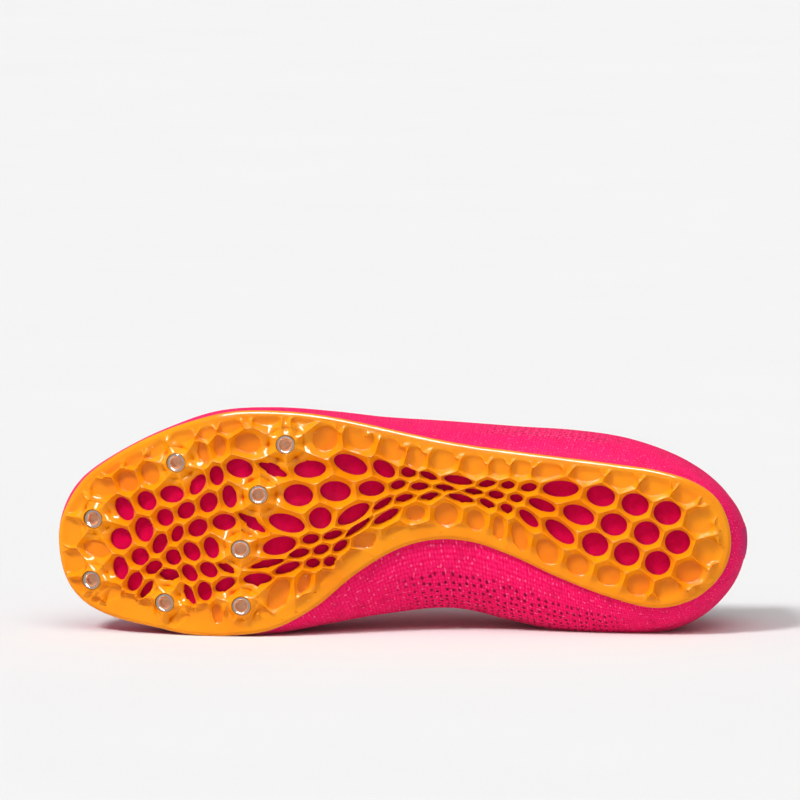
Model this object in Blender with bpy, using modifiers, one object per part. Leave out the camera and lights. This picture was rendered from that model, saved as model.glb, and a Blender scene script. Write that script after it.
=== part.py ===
"""A left track spike shoe that lies on its medial side, with its sole upright.

The shoe is modelled in its own frame: X from the back of the heel to the toe, Y towards the lateral side, Z up from
the ground line. The empty shoe_lying then turns the whole shoe onto its medial side: toe to -X, sole to -Y and the
lateral side up. Shares run along the shoe's length from the heel and across its ball width, lateral side positive.
"""

import math

import bmesh
import bpy
import numpy as np
from mathutils import Euler, Matrix, Vector
from mathutils.geometry import delaunay_2d_cdt

MM = 0.001

# Overall sizes
SHOE_LENGTH = 276 * MM
BALL_WIDTH = 92 * MM
INSTEP_HEIGHT = 82 * MM
TOE_SPRING = 23 * MM
BULGE_HEIGHT = 25 * MM

# Spike plate, with each depth measured out from the plate's inner face
WEB_DEPTH = 4.0 * MM
RIM_DEPTH = 2.1 * MM
EDGE_DEPTH = 1.0 * MM
PIT_FLOOR = 1.3 * MM
HOLE_LIP = 1.5 * MM
BOSS_DEPTH = 4.7 * MM
BOSS_SAG = 1.3 * MM
RIM_ROUND = 1.6 * MM
FADE_START = 2.7 * MM
FADE_END = 7.0 * MM
LEAST_WEB = 1.4 * MM
OUTLINE_POINTS = 80
HOLE_POINTS = 8

# Steel sockets
SOCKET_RADIUS = 3.7 * MM
SOCKET_BORE = 2.55 * MM
SOCKET_PROUD = 0.25 * MM
SOCKET_FLOOR = 0.9 * MM
SOCKET_SIDES = 16

# Upper
UPPER_WALL = 1.6 * MM
FEATHER_INSET = 2.0 * MM
STRIP_HALF_WIDTH = 5.4 * MM
STRIP_STEP = 0.5 * MM
EYESTAY_STEP = 0.6 * MM
EYESTAY_FROM = 1.72
EYESTAY_START = 0.44
EYELET_AT = 0.86
SIDE_SAMPLES = 29
WALL_LEVELS = (0.0, 0.3, 0.65, 1.0, 1.14, 1.3, 1.46, 1.6, 1.712, 1.728, 1.86, 2.0)

# Board, insole, tongue and lace
BOARD_THICKNESS = 1.0 * MM
INSOLE_THICKNESS = 3.2 * MM
INSOLE_LEAN = 0.45
TONGUE_THICKNESS = 2.6 * MM
TONGUE_REACH = 0.80
TONGUE_RISE = 20 * MM
TONGUE_CROWN = 1.2 * MM
LACE_RADIUS = 1.4 * MM
LACE_ROWS = 5
LACE_POINTS = 8
LACE_END = 4.8 * MM
CLEARANCE = 0.3 * MM

# Ground line under the plate: share of the length, share of the toe spring
GROUND = (
    (0.00, 0.13), (0.07, 0.02), (0.145, 0.0), (0.29, 0.11), (0.40, 0.22), (0.51, 0.17), (0.62, 0.04),
    (0.69, 0.0), (0.76, 0.065), (0.83, 0.24), (0.905, 0.52), (0.96, 0.78), (1.0, 1.0), (1.04, 1.23),
)

# Plate outline: share along, medial and lateral reach as shares of the ball width
PLATE_HEEL = (0.020, -0.015)
PLATE_TOE = (1.000, -0.020)
PLATE_OUTLINE = (
    (0.040, 0.178, 0.174), (0.080, 0.267, 0.258), (0.130, 0.298, 0.303), (0.200, 0.250, 0.333),
    (0.280, 0.157, 0.362), (0.340, 0.075, 0.383), (0.400, 0.015, 0.406), (0.440, 0.005, 0.428),
    (0.500, 0.044, 0.468), (0.560, 0.148, 0.511), (0.620, 0.293, 0.546), (0.680, 0.388, 0.562),
    (0.740, 0.419, 0.559), (0.800, 0.421, 0.516), (0.860, 0.392, 0.445), (0.920, 0.355, 0.344),
    (0.965, 0.290, 0.234), (0.990, 0.190, 0.110),
)

# Widest line of the upper: share along, medial and lateral reach, height as a share of the bulge height
BULGE_HEEL = (0.000, -0.030)
BULGE_TOE = (0.990, -0.020)
BULGE_OUTLINE = (
    (0.025, 0.255, 0.165, 1.00), (0.060, 0.362, 0.262, 1.00), (0.110, 0.434, 0.345, 1.02), (0.180, 0.462, 0.412, 1.05),
    (0.250, 0.450, 0.440, 1.05), (0.330, 0.400, 0.452, 1.04), (0.420, 0.342, 0.468, 1.00), (0.520, 0.360, 0.494, 0.90),
    (0.600, 0.392, 0.530, 0.75), (0.680, 0.428, 0.553, 0.65), (0.760, 0.432, 0.541, 0.55), (0.840, 0.410, 0.458, 0.50),
    (0.910, 0.345, 0.345, 0.48), (0.960, 0.255, 0.225, 0.45),
)
BULGE_HEEL_HEIGHT = 1.10
BULGE_TOE_HEIGHT = 0.42

# Top edge of the upper, round the collar and the throat: place round each side from heel to toe, share along,
# medial and lateral reach, height as a share of the instep height, and how upright the wall meets the edge
TOP_EDGE = (
    (0.00, 0.030, 0.020, -0.020, 0.760, 1.00),
    (0.12, 0.045, 0.205, 0.165, 0.735, 1.00),
    (0.22, 0.110, 0.345, 0.320, 0.650, 1.00),
    (0.31, 0.205, 0.412, 0.405, 0.585, 1.00),
    (0.39, 0.300, 0.355, 0.385, 0.700, 0.90),
    (0.46, 0.375, 0.225, 0.290, 0.900, 0.70),
    (0.53, 0.440, 0.150, 0.215, 0.960, 0.55),
    (0.64, 0.520, 0.130, 0.195, 0.880, 0.45),
    (0.78, 0.595, 0.105, 0.165, 0.785, 0.40),
    (0.90, 0.640, 0.060, 0.110, 0.725, 0.36),
    (1.00, 0.655, -0.020, 0.020, 0.705, 0.35),
)

# Web of the plate, each cell an ellipse: percent along, percent across, half length and half width in percent of the
# ball width, and the turn in degrees from the toe towards the lateral side
OPEN_HEEL = (
    (16.1, 15.4, 6.0, 4.8, 15), (11.4, 11.7, 6.0, 5.2, 10), (14.4, 2.9, 5.6, 5.1, 10), (9.9, -1.0, 5.5, 5.2, 5),
    (19.2, 6.6, 5.8, 4.8, 12), (17.3, -6.2, 5.6, 5.1, 15), (12.8, -10.1, 5.5, 5.2, 10), (21.1, 19.0, 6.2, 4.5, 12),
    (26.9, 22.0, 7.7, 3.5, 0), (24.3, 10.7, 7.0, 4.0, 20), (21.9, -2.1, 5.8, 5.0, 25), (27.0, 3.2, 7.5, 3.4, 38),
    (29.6, 14.8, 6.0, 2.3, 20), (31.5, 8.9, 5.2, 2.2, 42), (31.5, 22.5, 3.4, 1.7, -5),
)
OPEN_WAIST = (
    (34.5, 23.4, 2.8, 1.5, 0), (33.3, 17.7, 2.7, 1.6, 8), (34.7, 13.3, 2.6, 1.7, 20), (36.2, 19.1, 3.2, 1.6, 8),
    (37.5, 23.9, 3.5, 1.3, -8), (37.5, 15.4, 3.3, 1.3, 25), (39.4, 20.5, 3.6, 1.0, 7), (41.2, 17.6, 5.2, 1.4, 14),
    (41.6, 25.4, 6.0, 1.8, 10), (43.5, 22.2, 3.8, 1.0, 8), (45.8, 27.4, 3.7, 1.3, 22), (45.7, 18.6, 3.8, 1.1, -12),
    (47.1, 22.8, 3.6, 1.5, 0), (48.7, 29.0, 3.1, 2.2, 5), (50.2, 23.6, 3.1, 1.7, -15), (49.3, 17.8, 3.7, 1.3, -13),
    (52.2, 30.5, 5.2, 3.1, 35), (54.0, 22.0, 5.5, 3.3, 0), (52.4, 15.4, 4.4, 1.4, -33), (51.9, 9.8, 5.8, 1.8, -30),
)
OPEN_BALL = (
    (57.0, 32.6, 7.6, 3.9, 22), (59.2, 21.0, 6.7, 4.4, 5), (56.6, 11.0, 7.6, 3.2, -30), (56.0, 5.2, 6.1, 1.2, -36),
    (62.9, 30.7, 6.9, 3.7, -3), (64.6, 19.4, 6.4, 4.8, 5), (61.4, 9.4, 4.9, 4.7, 0), (66.3, 7.3, 8.1, 3.8, 15),
    (68.3, 30.6, 6.7, 1.8, 24), (67.4, -2.6, 7.4, 3.8, -12), (62.8, 0.3, 3.5, 2.0, -8), (59.6, 2.0, 4.1, 1.6, -15),
    (64.5, -5.8, 4.3, 1.8, -10), (61.3, -4.3, 3.3, 1.9, -18), (58.5, -2.8, 3.4, 1.7, -35), (69.2, -10.4, 7.2, 1.4, -13),
    (66.2, -12.2, 5.6, 1.9, -20), (62.5, -10.2, 2.9, 1.9, -5), (60.0, -9.5, 2.6, 2.0, -15), (70.6, -17.0, 6.2, 2.3, -3),
    (71.4, 7.4, 7.0, 1.6, 34), (73.2, 31.1, 5.9, 4.0, 12), (76.6, 27.8, 4.2, 3.1, 85), (79.4, 23.7, 5.0, 2.8, -57),
)
OPEN_TOE = (
    (74.7, 18.8, 4.9, 3.1, 80), (83.2, 19.2, 5.2, 3.7, -3), (77.8, 16.0, 4.5, 3.7, -60), (81.1, 12.3, 4.2, 3.3, -40),
    (75.5, 7.6, 5.1, 3.5, -3), (79.4, 4.8, 4.5, 3.5, -35), (82.4, 2.0, 3.7, 2.4, -65), (84.2, 8.9, 3.7, 3.7, 0),
    (86.9, 15.9, 4.4, 3.9, 45), (90.2, 12.0, 5.4, 3.7, 60), (87.3, 3.3, 5.4, 4.0, 80), (90.7, -1.2, 4.8, 4.7, 0),
    (85.0, -2.6, 4.7, 2.9, -62), (80.3, -5.6, 4.4, 3.3, 50), (77.4, -3.7, 4.7, 3.2, 72), (83.0, -8.3, 3.4, 3.4, 0),
    (87.9, -8.7, 3.9, 3.7, -20), (85.9, -13.1, 3.9, 2.6, -30), (77.8, -13.4, 4.1, 3.0, 30), (80.6, -15.0, 4.1, 2.8, 48),
    (83.6, -15.8, 4.4, 2.2, 3), (90.8, -14.0, 5.0, 3.3, 80), (75.2, -12.6, 3.9, 1.3, 28), (75.4, -19.7, 4.7, 2.5, -28),
    (78.4, -22.8, 4.1, 3.1, 80), (80.6, -24.3, 4.6, 1.6, 63), (88.7, -19.6, 4.5, 2.9, -60), (87.0, -22.9, 4.6, 1.5, -55),
)

# Blind pits, which keep a floor of plastic
PITS = (
    (8.2, -14.0, 6.0, 5.1, 0), (15.6, -19.7, 5.2, 4.9, 0), (19.9, -15.6, 5.3, 4.6, 20), (24.4, -11.1, 5.5, 4.6, 40),
    (28.8, -5.4, 6.3, 4.4, 60), (32.8, 0.9, 6.6, 3.1, 72), (35.8, 4.5, 5.3, 2.4, 85), (39.1, 7.8, 4.8, 3.9, 70),
    (43.3, 10.3, 5.4, 5.1, 45), (47.7, 11.1, 4.2, 3.5, 0), (55.0, -0.6, 5.2, 3.4, -20), (60.7, 44.0, 5.8, 5.6, 90),
    (72.0, 42.2, 6.0, 4.6, 8), (76.1, 40.6, 4.6, 2.8, 85), (78.5, 37.7, 4.9, 2.1, 72), (86.3, 28.0, 5.1, 3.9, 68),
    (89.7, 24.2, 4.9, 4.4, 40), (94.3, -6.1, 6.1, 3.7, 12), (67.5, -23.7, 7.6, 4.3, -62), (63.8, -18.8, 4.7, 2.6, -68),
    (76.5, -32.4, 4.4, 2.3, 80),
)

# Shallow bays, which open onto the rim
BAYS = (
    (6.6, 8.2, 6.4, 5.6, 0), (5.4, -5.2, 5.8, 5.5, 0), (11.3, -21.8, 5.2, 4.6, 0), (8.5, 20.4, 6.0, 4.5, -25),
    (13.2, 23.7, 6.5, 4.5, -8), (18.1, 26.5, 6.5, 4.0, 0), (23.0, 28.8, 6.5, 3.5, 0), (28.9, 29.8, 6.5, 3.0, 0),
    (32.5, 30.8, 4.5, 3.2, 0), (35.7, 31.2, 4.0, 3.5, 0), (39.3, 31.6, 5.0, 4.0, 0), (43.8, 34.0, 5.5, 4.2, 0),
    (47.7, 35.0, 4.0, 4.5, 0), (51.0, 38.5, 5.5, 4.3, 30), (55.8, 44.2, 6.5, 5.0, 25), (63.9, 52.2, 4.5, 1.6, 0),
    (69.2, 52.4, 5.5, 2.2, 0), (74.7, 49.2, 5.0, 2.8, -12), (78.0, 46.2, 4.0, 2.5, -20), (81.3, 44.7, 4.5, 2.5, -20),
    (85.7, 38.4, 4.5, 3.0, -40), (88.7, 34.3, 4.5, 2.8, -35), (92.0, 30.5, 5.0, 2.5, -40), (93.1, 21.2, 5.5, 3.8, -10),
    (97.4, 14.0, 5.0, 3.0, -60), (98.2, 0.5, 5.8, 4.5, 90), (97.9, -11.9, 5.0, 5.0, 0), (97.2, -23.0, 3.5, 3.0, 0),
    (94.3, -30.0, 3.5, 2.5, 0), (91.6, -26.8, 5.0, 3.2, -70), (89.5, -29.3, 4.5, 3.0, -75), (87.3, -31.5, 4.5, 3.0, -75),
    (81.0, -35.9, 3.5, 3.0, 0), (79.0, -35.1, 4.0, 2.2, 85), (70.0, -34.0, 4.5, 3.5, -60), (60.8, -16.4, 3.5, 2.5, -60),
    (56.6, -7.5, 4.5, 2.5, -30), (50.4, 2.0, 4.5, 3.5, 0), (46.5, 3.6, 4.0, 2.5, 0), (42.0, 3.0, 3.5, 2.2, 0),
)

# Spike sockets: percent along and percent across
SOCKETS = (
    (66.5, 41.9), (70.4, 20.0), (73.0, -3.8), (84.0, -28.0), (72.9, -28.6), (94.4, 7.3), (94.7, -19.6), (82.3, 33.3),
)

ORANGE = (1.0, 0.30, 0.02, 1.0)
PINK = (0.91, 0.01, 0.13, 1.0)
DARK_PINK = (0.47, 0.0, 0.07, 1.0)
STEEL = (0.75, 0.74, 0.72, 1.0)


def clear_scene():
    """Remove every object of the open scene."""
    for obj in list(bpy.data.objects):
        bpy.data.objects.remove(obj, do_unlink=True)


def material(name, colour, roughness, metallic=0.0):
    """A plain Principled material."""
    made = bpy.data.materials.new(name)
    made.use_nodes = True
    shader = made.node_tree.nodes["Principled BSDF"]
    shader.inputs["Base Color"].default_value = colour
    shader.inputs["Roughness"].default_value = roughness
    shader.inputs["Metallic"].default_value = metallic
    return made


def smooth_step(share):
    """0 below 0, 1 above 1, and an even rise between."""
    held = np.clip(share, 0.0, 1.0)
    return held * held * (3.0 - 2.0 * held)


def through(stations, values, at):
    """Smooth curve through the values at the stations: cubic pieces whose slopes weigh both neighbours."""
    stations, values, at = np.asarray(stations, float), np.asarray(values, float), np.asarray(at, float)
    gaps = np.diff(stations)
    rises = np.diff(values, axis=0) / (gaps[:, None] if values.ndim > 1 else gaps)
    before, after = gaps[:-1], gaps[1:]
    if values.ndim > 1:
        before, after = before[:, None], after[:, None]
    inner = (rises[:-1] * after + rises[1:] * before) / (before + after)
    slopes = np.concatenate([rises[:1], inner, rises[-1:]])
    piece = np.clip(np.searchsorted(stations, at, side="right") - 1, 0, len(gaps) - 1)
    gap = gaps[piece]
    share = (at - stations[piece]) / gap
    if values.ndim > 1:
        share, gap = share[..., None], gap[..., None]
    start, end = values[piece], values[piece + 1]
    leave, arrive = slopes[piece] * gap, slopes[piece + 1] * gap
    cubic = 2.0 * (start - end) + leave + arrive
    square = 3.0 * (end - start) - 2.0 * leave - arrive
    return ((cubic * share + square) * share + leave) * share + start


def round_loop(stations, values, at):
    """Closed smooth curve: the stations lie in 0 to 2, and 2 is the start again."""
    stations, values = np.asarray(stations, float), np.asarray(values, float)
    stations = np.concatenate([stations[-3:] - 2.0, stations, stations[:4] + 2.0])
    values = np.concatenate([values[-3:], values, values[:4]])
    return through(stations, values, np.mod(at, 2.0))


def loop_of(rows, heel, toe, at, more=()):
    """Outline loop, from rows of share along, medial reach, lateral reach and more columns.

    The loop starts at the heel, runs up the lateral side (places 0 to 1) and back down the medial side (1 to 2). A
    place follows the shape's own turn at both ends, as the angle of a circle follows its diameter.
    """
    table = np.array(rows)
    around = np.arccos(1.0 - 2.0 * (table[:, 0] - heel[0]) / (toe[0] - heel[0])) / np.pi
    lateral = np.column_stack([table[:, 0], table[:, 2], table[:, 3:]])
    medial = np.column_stack([table[:, 0], -table[:, 1], table[:, 3:]])[::-1]
    ends = [np.array([[*heel, *more[:1]]]), np.array([[*toe, *more[1:]]])]
    stations = np.concatenate([[0.0], around, [1.0], 2.0 - around[::-1]])
    values = np.concatenate([ends[0], lateral, ends[1], medial])
    return round_loop(stations, values, at)


def to_lengths(shares):
    """Shares along and across made lengths."""
    return shares * np.array([SHOE_LENGTH, BALL_WIDTH])


def ground(x):
    """Height and slope angle of the ground line at x."""
    table = np.array(GROUND)
    at = np.asarray(x, float) / SHOE_LENGTH
    height = through(table[:, 0], table[:, 1], at) * TOE_SPRING
    step = 0.004
    rise = through(table[:, 0], table[:, 1], at + step) - through(table[:, 0], table[:, 1], at - step)
    return height, np.arctan(rise * TOE_SPRING / (2.0 * step * SHOE_LENGTH))


def above_ground(x, y, rise):
    """Points that stand off the ground line, square to it, by rise."""
    height, slope = ground(x)
    return np.stack([x - rise * np.sin(slope), y + 0.0 * x, height + rise * np.cos(slope)], axis=-1)


def inset(loop, distance):
    """A closed flat loop moved inwards by distance."""
    along = np.roll(loop, -1, axis=0) - np.roll(loop, 1, axis=0)
    along /= np.linalg.norm(along, axis=1)[:, None]
    return loop + distance * np.stack([along[:, 1], -along[:, 0]], axis=-1)


def plate_loop(at):
    """The plate's outline at places round it."""
    return to_lengths(loop_of(PLATE_OUTLINE, PLATE_HEEL, PLATE_TOE, at))


def even_places(count):
    """Places that divide the plate's outline into equal steps."""
    fine = np.linspace(0.0, 2.0, 721)
    points = plate_loop(fine)
    run = np.concatenate([[0.0], np.cumsum(np.linalg.norm(np.diff(points, axis=0), axis=1))])
    return np.interp(np.arange(count) * run[-1] / count, run, fine)


OUTLINE = plate_loop(np.linspace(0.0, 2.0, 240, endpoint=False))


def inside_of(loop, points):
    """Whether each flat point lies inside a closed loop: it does where a ray crosses the loop an odd number of times."""
    start, end = loop, np.roll(loop, -1, axis=0)
    x, y = points[..., None, 0], points[..., None, 1]
    spans = (start[:, 1] > y) != (end[:, 1] > y)
    rise = np.where(np.abs(end[:, 1] - start[:, 1]) > 1e-12, end[:, 1] - start[:, 1], 1e-12)
    crossing = start[:, 0] + (y - start[:, 1]) * (end[:, 0] - start[:, 0]) / rise
    return np.count_nonzero(spans & (x < crossing), axis=-1) % 2 == 1


def depth_inside(points):
    """Distance from each flat point to the plate's outline, negative outside it."""
    start, end = OUTLINE, np.roll(OUTLINE, -1, axis=0)
    run = end - start
    from_start = points[..., None, :] - start
    share = np.clip((from_start * run).sum(-1) / (run * run).sum(-1), 0.0, 1.0)
    away = from_start - share[..., None] * run
    distance = np.sqrt((away * away).sum(-1).min(-1))
    return np.where(inside_of(OUTLINE, points), distance, -distance)


def cell_table():
    """Every cell of the web: kind, centre, half sizes and turn."""
    rows = [("open", *row) for row in OPEN_HEEL + OPEN_WAIST + OPEN_BALL + OPEN_TOE]
    rows += [("pit", *row) for row in PITS] + [("bay", *row) for row in BAYS]
    reach = 100.0 * (SOCKET_RADIUS + CLEARANCE) / BALL_WIDTH
    rows += [("socket", along, across, reach, reach, 0.0) for along, across in SOCKETS]
    kinds = np.array([row[0] for row in rows])
    numbers = np.array([row[1:] for row in rows], float)
    centres = to_lengths(numbers[:, :2] / 100.0)
    halves = numbers[:, 2:4] / 100.0 * BALL_WIDTH
    return kinds, centres, halves, np.radians(numbers[:, 4])


KINDS, CENTRES, HALVES, TURNS = cell_table()


def past_cells(points):
    """Distance from each point past the rim of every cell, along the line from the cell's centre."""
    away = points[..., None, :] - CENTRES
    cos, sin = np.cos(TURNS), np.sin(TURNS)
    long = (away[..., 0] * cos + away[..., 1] * sin) / HALVES[:, 0]
    wide = (away[..., 1] * cos - away[..., 0] * sin) / HALVES[:, 1]
    level = np.maximum(np.hypot(long, wide), 1e-6)
    return np.hypot(away[..., 0], away[..., 1]) * (1.0 - 1.0 / level)


def cell_borders(angles):
    """How far each cell reaches along each angle, and the cell that it meets there, or -1 for the rim."""
    rays = np.stack([np.cos(angles), np.sin(angles)], axis=-1)
    low = np.zeros((len(CENTRES), len(angles)))
    high = np.full_like(low, 0.2 * BALL_WIDTH)
    own = np.arange(len(CENTRES))
    for _ in range(13):
        middle = 0.5 * (low + high)
        points = CENTRES[:, None, :] + middle[..., None] * rays
        past = past_cells(points)
        mine = past[own, :, own].copy()
        past[own, :, own] = np.inf
        outside = (past.min(-1) < mine) | (depth_inside(points) < FADE_START)
        low, high = np.where(outside, low, middle), np.where(outside, middle, high)
    points = CENTRES[:, None, :] + high[..., None] * rays
    past = past_cells(points)
    mine = past[own, :, own].copy()
    past[own, :, own] = np.inf
    meets = np.where(past.min(-1) <= mine + 0.02 * MM, past.argmin(-1), -1)
    return low, meets


def web_depth(points):
    """Depth of the plate at flat points, out from its inner face."""
    edge_depths = {"open": HOLE_LIP, "pit": PIT_FLOOR, "bay": RIM_DEPTH, "socket": BOSS_DEPTH}
    edges = np.array([edge_depths[kind] for kind in KINDS])
    inside = depth_inside(points)
    past = past_cells(points)
    order = np.argsort(past, axis=-1)[..., :3]
    nearest = np.take_along_axis(past, order, axis=-1)
    first, second, third = np.moveaxis(np.maximum(nearest, 0.0), -1, 0)
    fade = smooth_step((inside - FADE_START) / (FADE_END - FADE_START))
    crest = RIM_DEPTH + (WEB_DEPTH - RIM_DEPTH) * fade
    beside = (KINDS[order[..., 0]] == "socket") | (KINDS[order[..., 1]] == "socket")
    crest -= np.where(beside, BOSS_SAG * fade * smooth_step((third - second) / (3.0 * MM)), 0.0)
    climb = np.clip(2.0 * first / np.maximum(first + second, 1e-9), 0.0, 1.0)
    depth = edges[order[..., 0]] + (crest - edges[order[..., 0]]) * climb
    rim = EDGE_DEPTH + (RIM_DEPTH - EDGE_DEPTH) * np.clip(inside / RIM_ROUND, 0.0, 1.0)
    return np.where(inside < RIM_ROUND, np.minimum(depth, rim), depth)


def junctions_of(reach, meets, angles):
    """Where three cells meet, one point for each, and each border as two junctions and the point between them."""
    found, borders = [], {}

    def number_of(point):
        for index, other in enumerate(found):
            if (point - other).length < 0.7 * MM:
                return index
        found.append(point)
        return len(found) - 1

    def at(cell, step):
        ray = Vector((math.cos(angles[step]), math.sin(angles[step])))
        return Vector(CENTRES[cell]) + float(reach[cell, step]) * ray

    for cell in range(len(CENTRES)):
        changes = [step for step in range(len(angles)) if meets[cell, step] != meets[cell, step - 1]]
        corners = [number_of(0.5 * (at(cell, step) + at(cell, step - 1))) for step in changes]
        for place, step in enumerate(changes):
            after = changes[(place + 1) % len(changes)]
            pair = tuple(sorted((corners[place], corners[(place + 1) % len(changes)])))
            if meets[cell, step] < 0 or pair[0] == pair[1] or pair in borders:
                continue
            borders[pair] = at(cell, (step + ((after - step) % len(angles)) // 2) % len(angles))
    return found, borders


def build_mesh(name, points, faces, materials):
    """A closed mesh object from points and faces, its doubles merged and its faces turned out."""
    mesh = bpy.data.meshes.new(name)
    mesh.from_pydata([tuple(point) for point in points], [], [list(face) for face in faces])
    work = bmesh.new()
    work.from_mesh(mesh)
    bmesh.ops.remove_doubles(work, verts=work.verts, dist=0.002 * MM)
    bmesh.ops.dissolve_degenerate(work, edges=work.edges, dist=0.001 * MM)
    bmesh.ops.triangulate(work, faces=work.faces)
    bmesh.ops.delete(work, geom=[vert for vert in work.verts if not vert.link_faces], context="VERTS")
    bmesh.ops.recalc_face_normals(work, faces=work.faces)
    if work.calc_volume(signed=True) < 0.0:
        bmesh.ops.reverse_faces(work, faces=work.faces)
    work.to_mesh(mesh)
    work.free()
    mesh.materials.append(materials)
    obj = bpy.data.objects.new(name, mesh)
    COLLECTION.objects.link(obj)
    obj.parent = LYING
    return obj


def triangulated(points, rings, more_edges):
    """Triangles over the plate: the hull of the first ring, without what lies in the other rings."""
    flat = [Vector((float(x) / MM, float(y) / MM)) for x, y in points]
    rims = [(ring[place - 1], ring[place]) for ring in rings for place in range(len(ring))]
    crests = list(more_edges)
    for last in (False, False, False, False, True):
        crests = [] if last else crests
        verts, _, faces, origins, _, _ = delaunay_2d_cdt(flat, rims + crests, [], 0, 1e-5)
        places = [origin[0] if origin else -1 for origin in origins]
        crossings = [verts[number] for number, place in enumerate(places) if place < 0]
        if not crossings:
            break
        crests = [edge for edge in crests if not any(lies_on(flat[edge[0]], flat[edge[1]], at) for at in crossings)]
    corners = np.array([[places[number] for number in face] for face in faces])
    flat_points = np.array(points)
    middles = flat_points[corners].mean(axis=1)
    kept = inside_of(flat_points[rings[0]], middles)
    for ring in rings[1:]:
        kept &= ~inside_of(flat_points[ring], middles)
    return corners[kept].tolist()


def lies_on(start, end, point):
    """Whether a flat point lies on the line between two others."""
    run = end - start
    share = (point - start).dot(run) / max(run.length_squared, 1e-12)
    return 0.0 <= share <= 1.0 and (point - start - share * run).length < 0.01


def make_plate(orange):
    """The moulded plate: its rim, the web's crests, and the holes cut through it."""
    fine = np.linspace(0.0, 2.0 * np.pi, 120, endpoint=False)
    reach, meets = cell_borders(fine)
    places = even_places(OUTLINE_POINTS)
    outline = plate_loop(places)
    points = [tuple(point) for point in outline]
    rings = [list(range(OUTLINE_POINTS))]
    for cell, kind in enumerate(KINDS):
        if kind not in ("open", "socket"):
            continue
        sides = 14 if kind == "socket" else HOLE_POINTS
        radius = np.interp(np.arange(sides) * 2.0 * np.pi / sides, fine, reach[cell], period=2.0 * np.pi)
        turns = np.arange(sides) * 2.0 * np.pi / sides + (0.0 if kind == "socket" else TURNS[cell])
        if kind == "open":
            radius = np.interp(turns, fine, reach[cell], period=2.0 * np.pi)
            away = turns - TURNS[cell]
            own = 1.0 / np.hypot(np.cos(away) / HALVES[cell, 0], np.sin(away) / HALVES[cell, 1])
            radius = np.maximum(np.minimum(own * 1.04, radius - 0.5 * LEAST_WEB), 0.5 * radius)
        else:
            radius = np.full(sides, SOCKET_RADIUS + CLEARANCE)
        ring = CENTRES[cell] + radius[:, None] * np.stack([np.cos(turns), np.sin(turns)], axis=-1)
        rings.append(list(range(len(points), len(points) + sides)))
        points += [tuple(point) for point in ring]
    shared = len(points)
    inner = inset(outline, RIM_ROUND)
    rim = list(range(len(points), len(points) + len(inner)))
    points += [tuple(point) for point in inner]
    floors = [cell for cell, kind in enumerate(KINDS) if kind in ("pit", "bay")]
    for cell in floors:
        turns = np.arange(6) * 2.0 * np.pi / 6 + TURNS[cell]
        away = turns - TURNS[cell]
        radius = 1.0 / np.hypot(np.cos(away) / HALVES[cell, 0], np.sin(away) / HALVES[cell, 1])
        radius = np.minimum(radius, np.interp(turns, fine, reach[cell], period=2.0 * np.pi) - 0.4 * LEAST_WEB)
        ring = CENTRES[cell] + radius[:, None] * np.stack([np.cos(turns), np.sin(turns)], axis=-1)
        points += [tuple(point) for point in ring[(depth_inside(ring) > 1.2 * FADE_START) & (radius > 0.5 * MM)]]
    corners, borders = junctions_of(reach, meets, fine)
    first = len(points)
    points += [tuple(corner) for corner in corners]
    edges = [(rim[place - 1], rim[place]) for place in range(len(rim))]
    for (start, end), middle in borders.items():
        chord = 0.5 * (corners[start] + corners[end])
        long = (corners[start] - corners[end]).length > 5.0 * MM
        if long or (middle - chord).length > 0.3 * MM:
            points.append(tuple(middle))
            edges += [(first + start, len(points) - 1), (len(points) - 1, first + end)]
        else:
            edges.append((first + start, first + end))
    flat = np.array(points)
    depth = web_depth(flat)
    crest_of = np.array([[*corner] for corner in corners])
    depth[first:first + len(corners)] = RIM_DEPTH + (WEB_DEPTH - RIM_DEPTH) * smooth_step(
        (depth_inside(crest_of) - FADE_START) / (FADE_END - FADE_START)
    )
    outer = above_ground(flat[:, 0], flat[:, 1], WEB_DEPTH - depth)
    back = above_ground(flat[:shared, 0], flat[:shared, 1], np.full(shared, WEB_DEPTH))
    faces = triangulated(points, rings, edges)
    under = triangulated(points[:shared], rings, [])
    count = len(points)
    faces += [[count + number for number in face] for face in under]
    for ring in rings:
        for place in range(len(ring)):
            a, b = ring[place - 1], ring[place]
            faces.append([a, b, count + b, count + a])
    return build_mesh("spike_plate", np.concatenate([outer, back]), faces, orange)


def make_sockets(steel):
    """The steel receptacles, one turned shape in each boss."""
    top, bottom = SOCKET_PROUD, SOCKET_PROUD - BOSS_DEPTH
    profile = (
        (0.0, bottom + SOCKET_FLOOR), (SOCKET_BORE, bottom + SOCKET_FLOOR), (SOCKET_BORE, top),
        (SOCKET_RADIUS, top), (SOCKET_RADIUS, bottom), (0.0, bottom),
    )
    mesh = bpy.data.meshes.new("spike_socket")
    mesh.from_pydata([(r, 0.0, z) for r, z in profile], [(i, i + 1) for i in range(len(profile) - 1)], [])
    mesh.materials.append(steel)
    for number, (along, across) in enumerate(SOCKETS, 1):
        obj = bpy.data.objects.new(f"spike_socket_{number}", mesh)
        COLLECTION.objects.link(obj)
        obj.parent = LYING
        screw = obj.modifiers.new("turned", "SCREW")
        screw.steps = screw.render_steps = SOCKET_SIDES
        screw.use_merge_vertices = True
        screw.merge_threshold = 1e-5
        x, y = along / 100.0 * SHOE_LENGTH, across / 100.0 * BALL_WIDTH
        place = above_ground(np.array([x]), np.array([y]), WEB_DEPTH - BOSS_DEPTH)[0]
        obj.location = Vector(place)
        obj.rotation_euler = Euler((0.0, math.pi - float(ground(x)[1]), 0.0))


def feather_loop(at, distance=FEATHER_INSET):
    """The upper's lower edge, tucked in over the plate's rim."""
    fine = np.linspace(0.0, 2.0, 480, endpoint=False)
    moved = inset(plate_loop(fine), distance)
    return round_loop(fine, moved, at)


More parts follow.
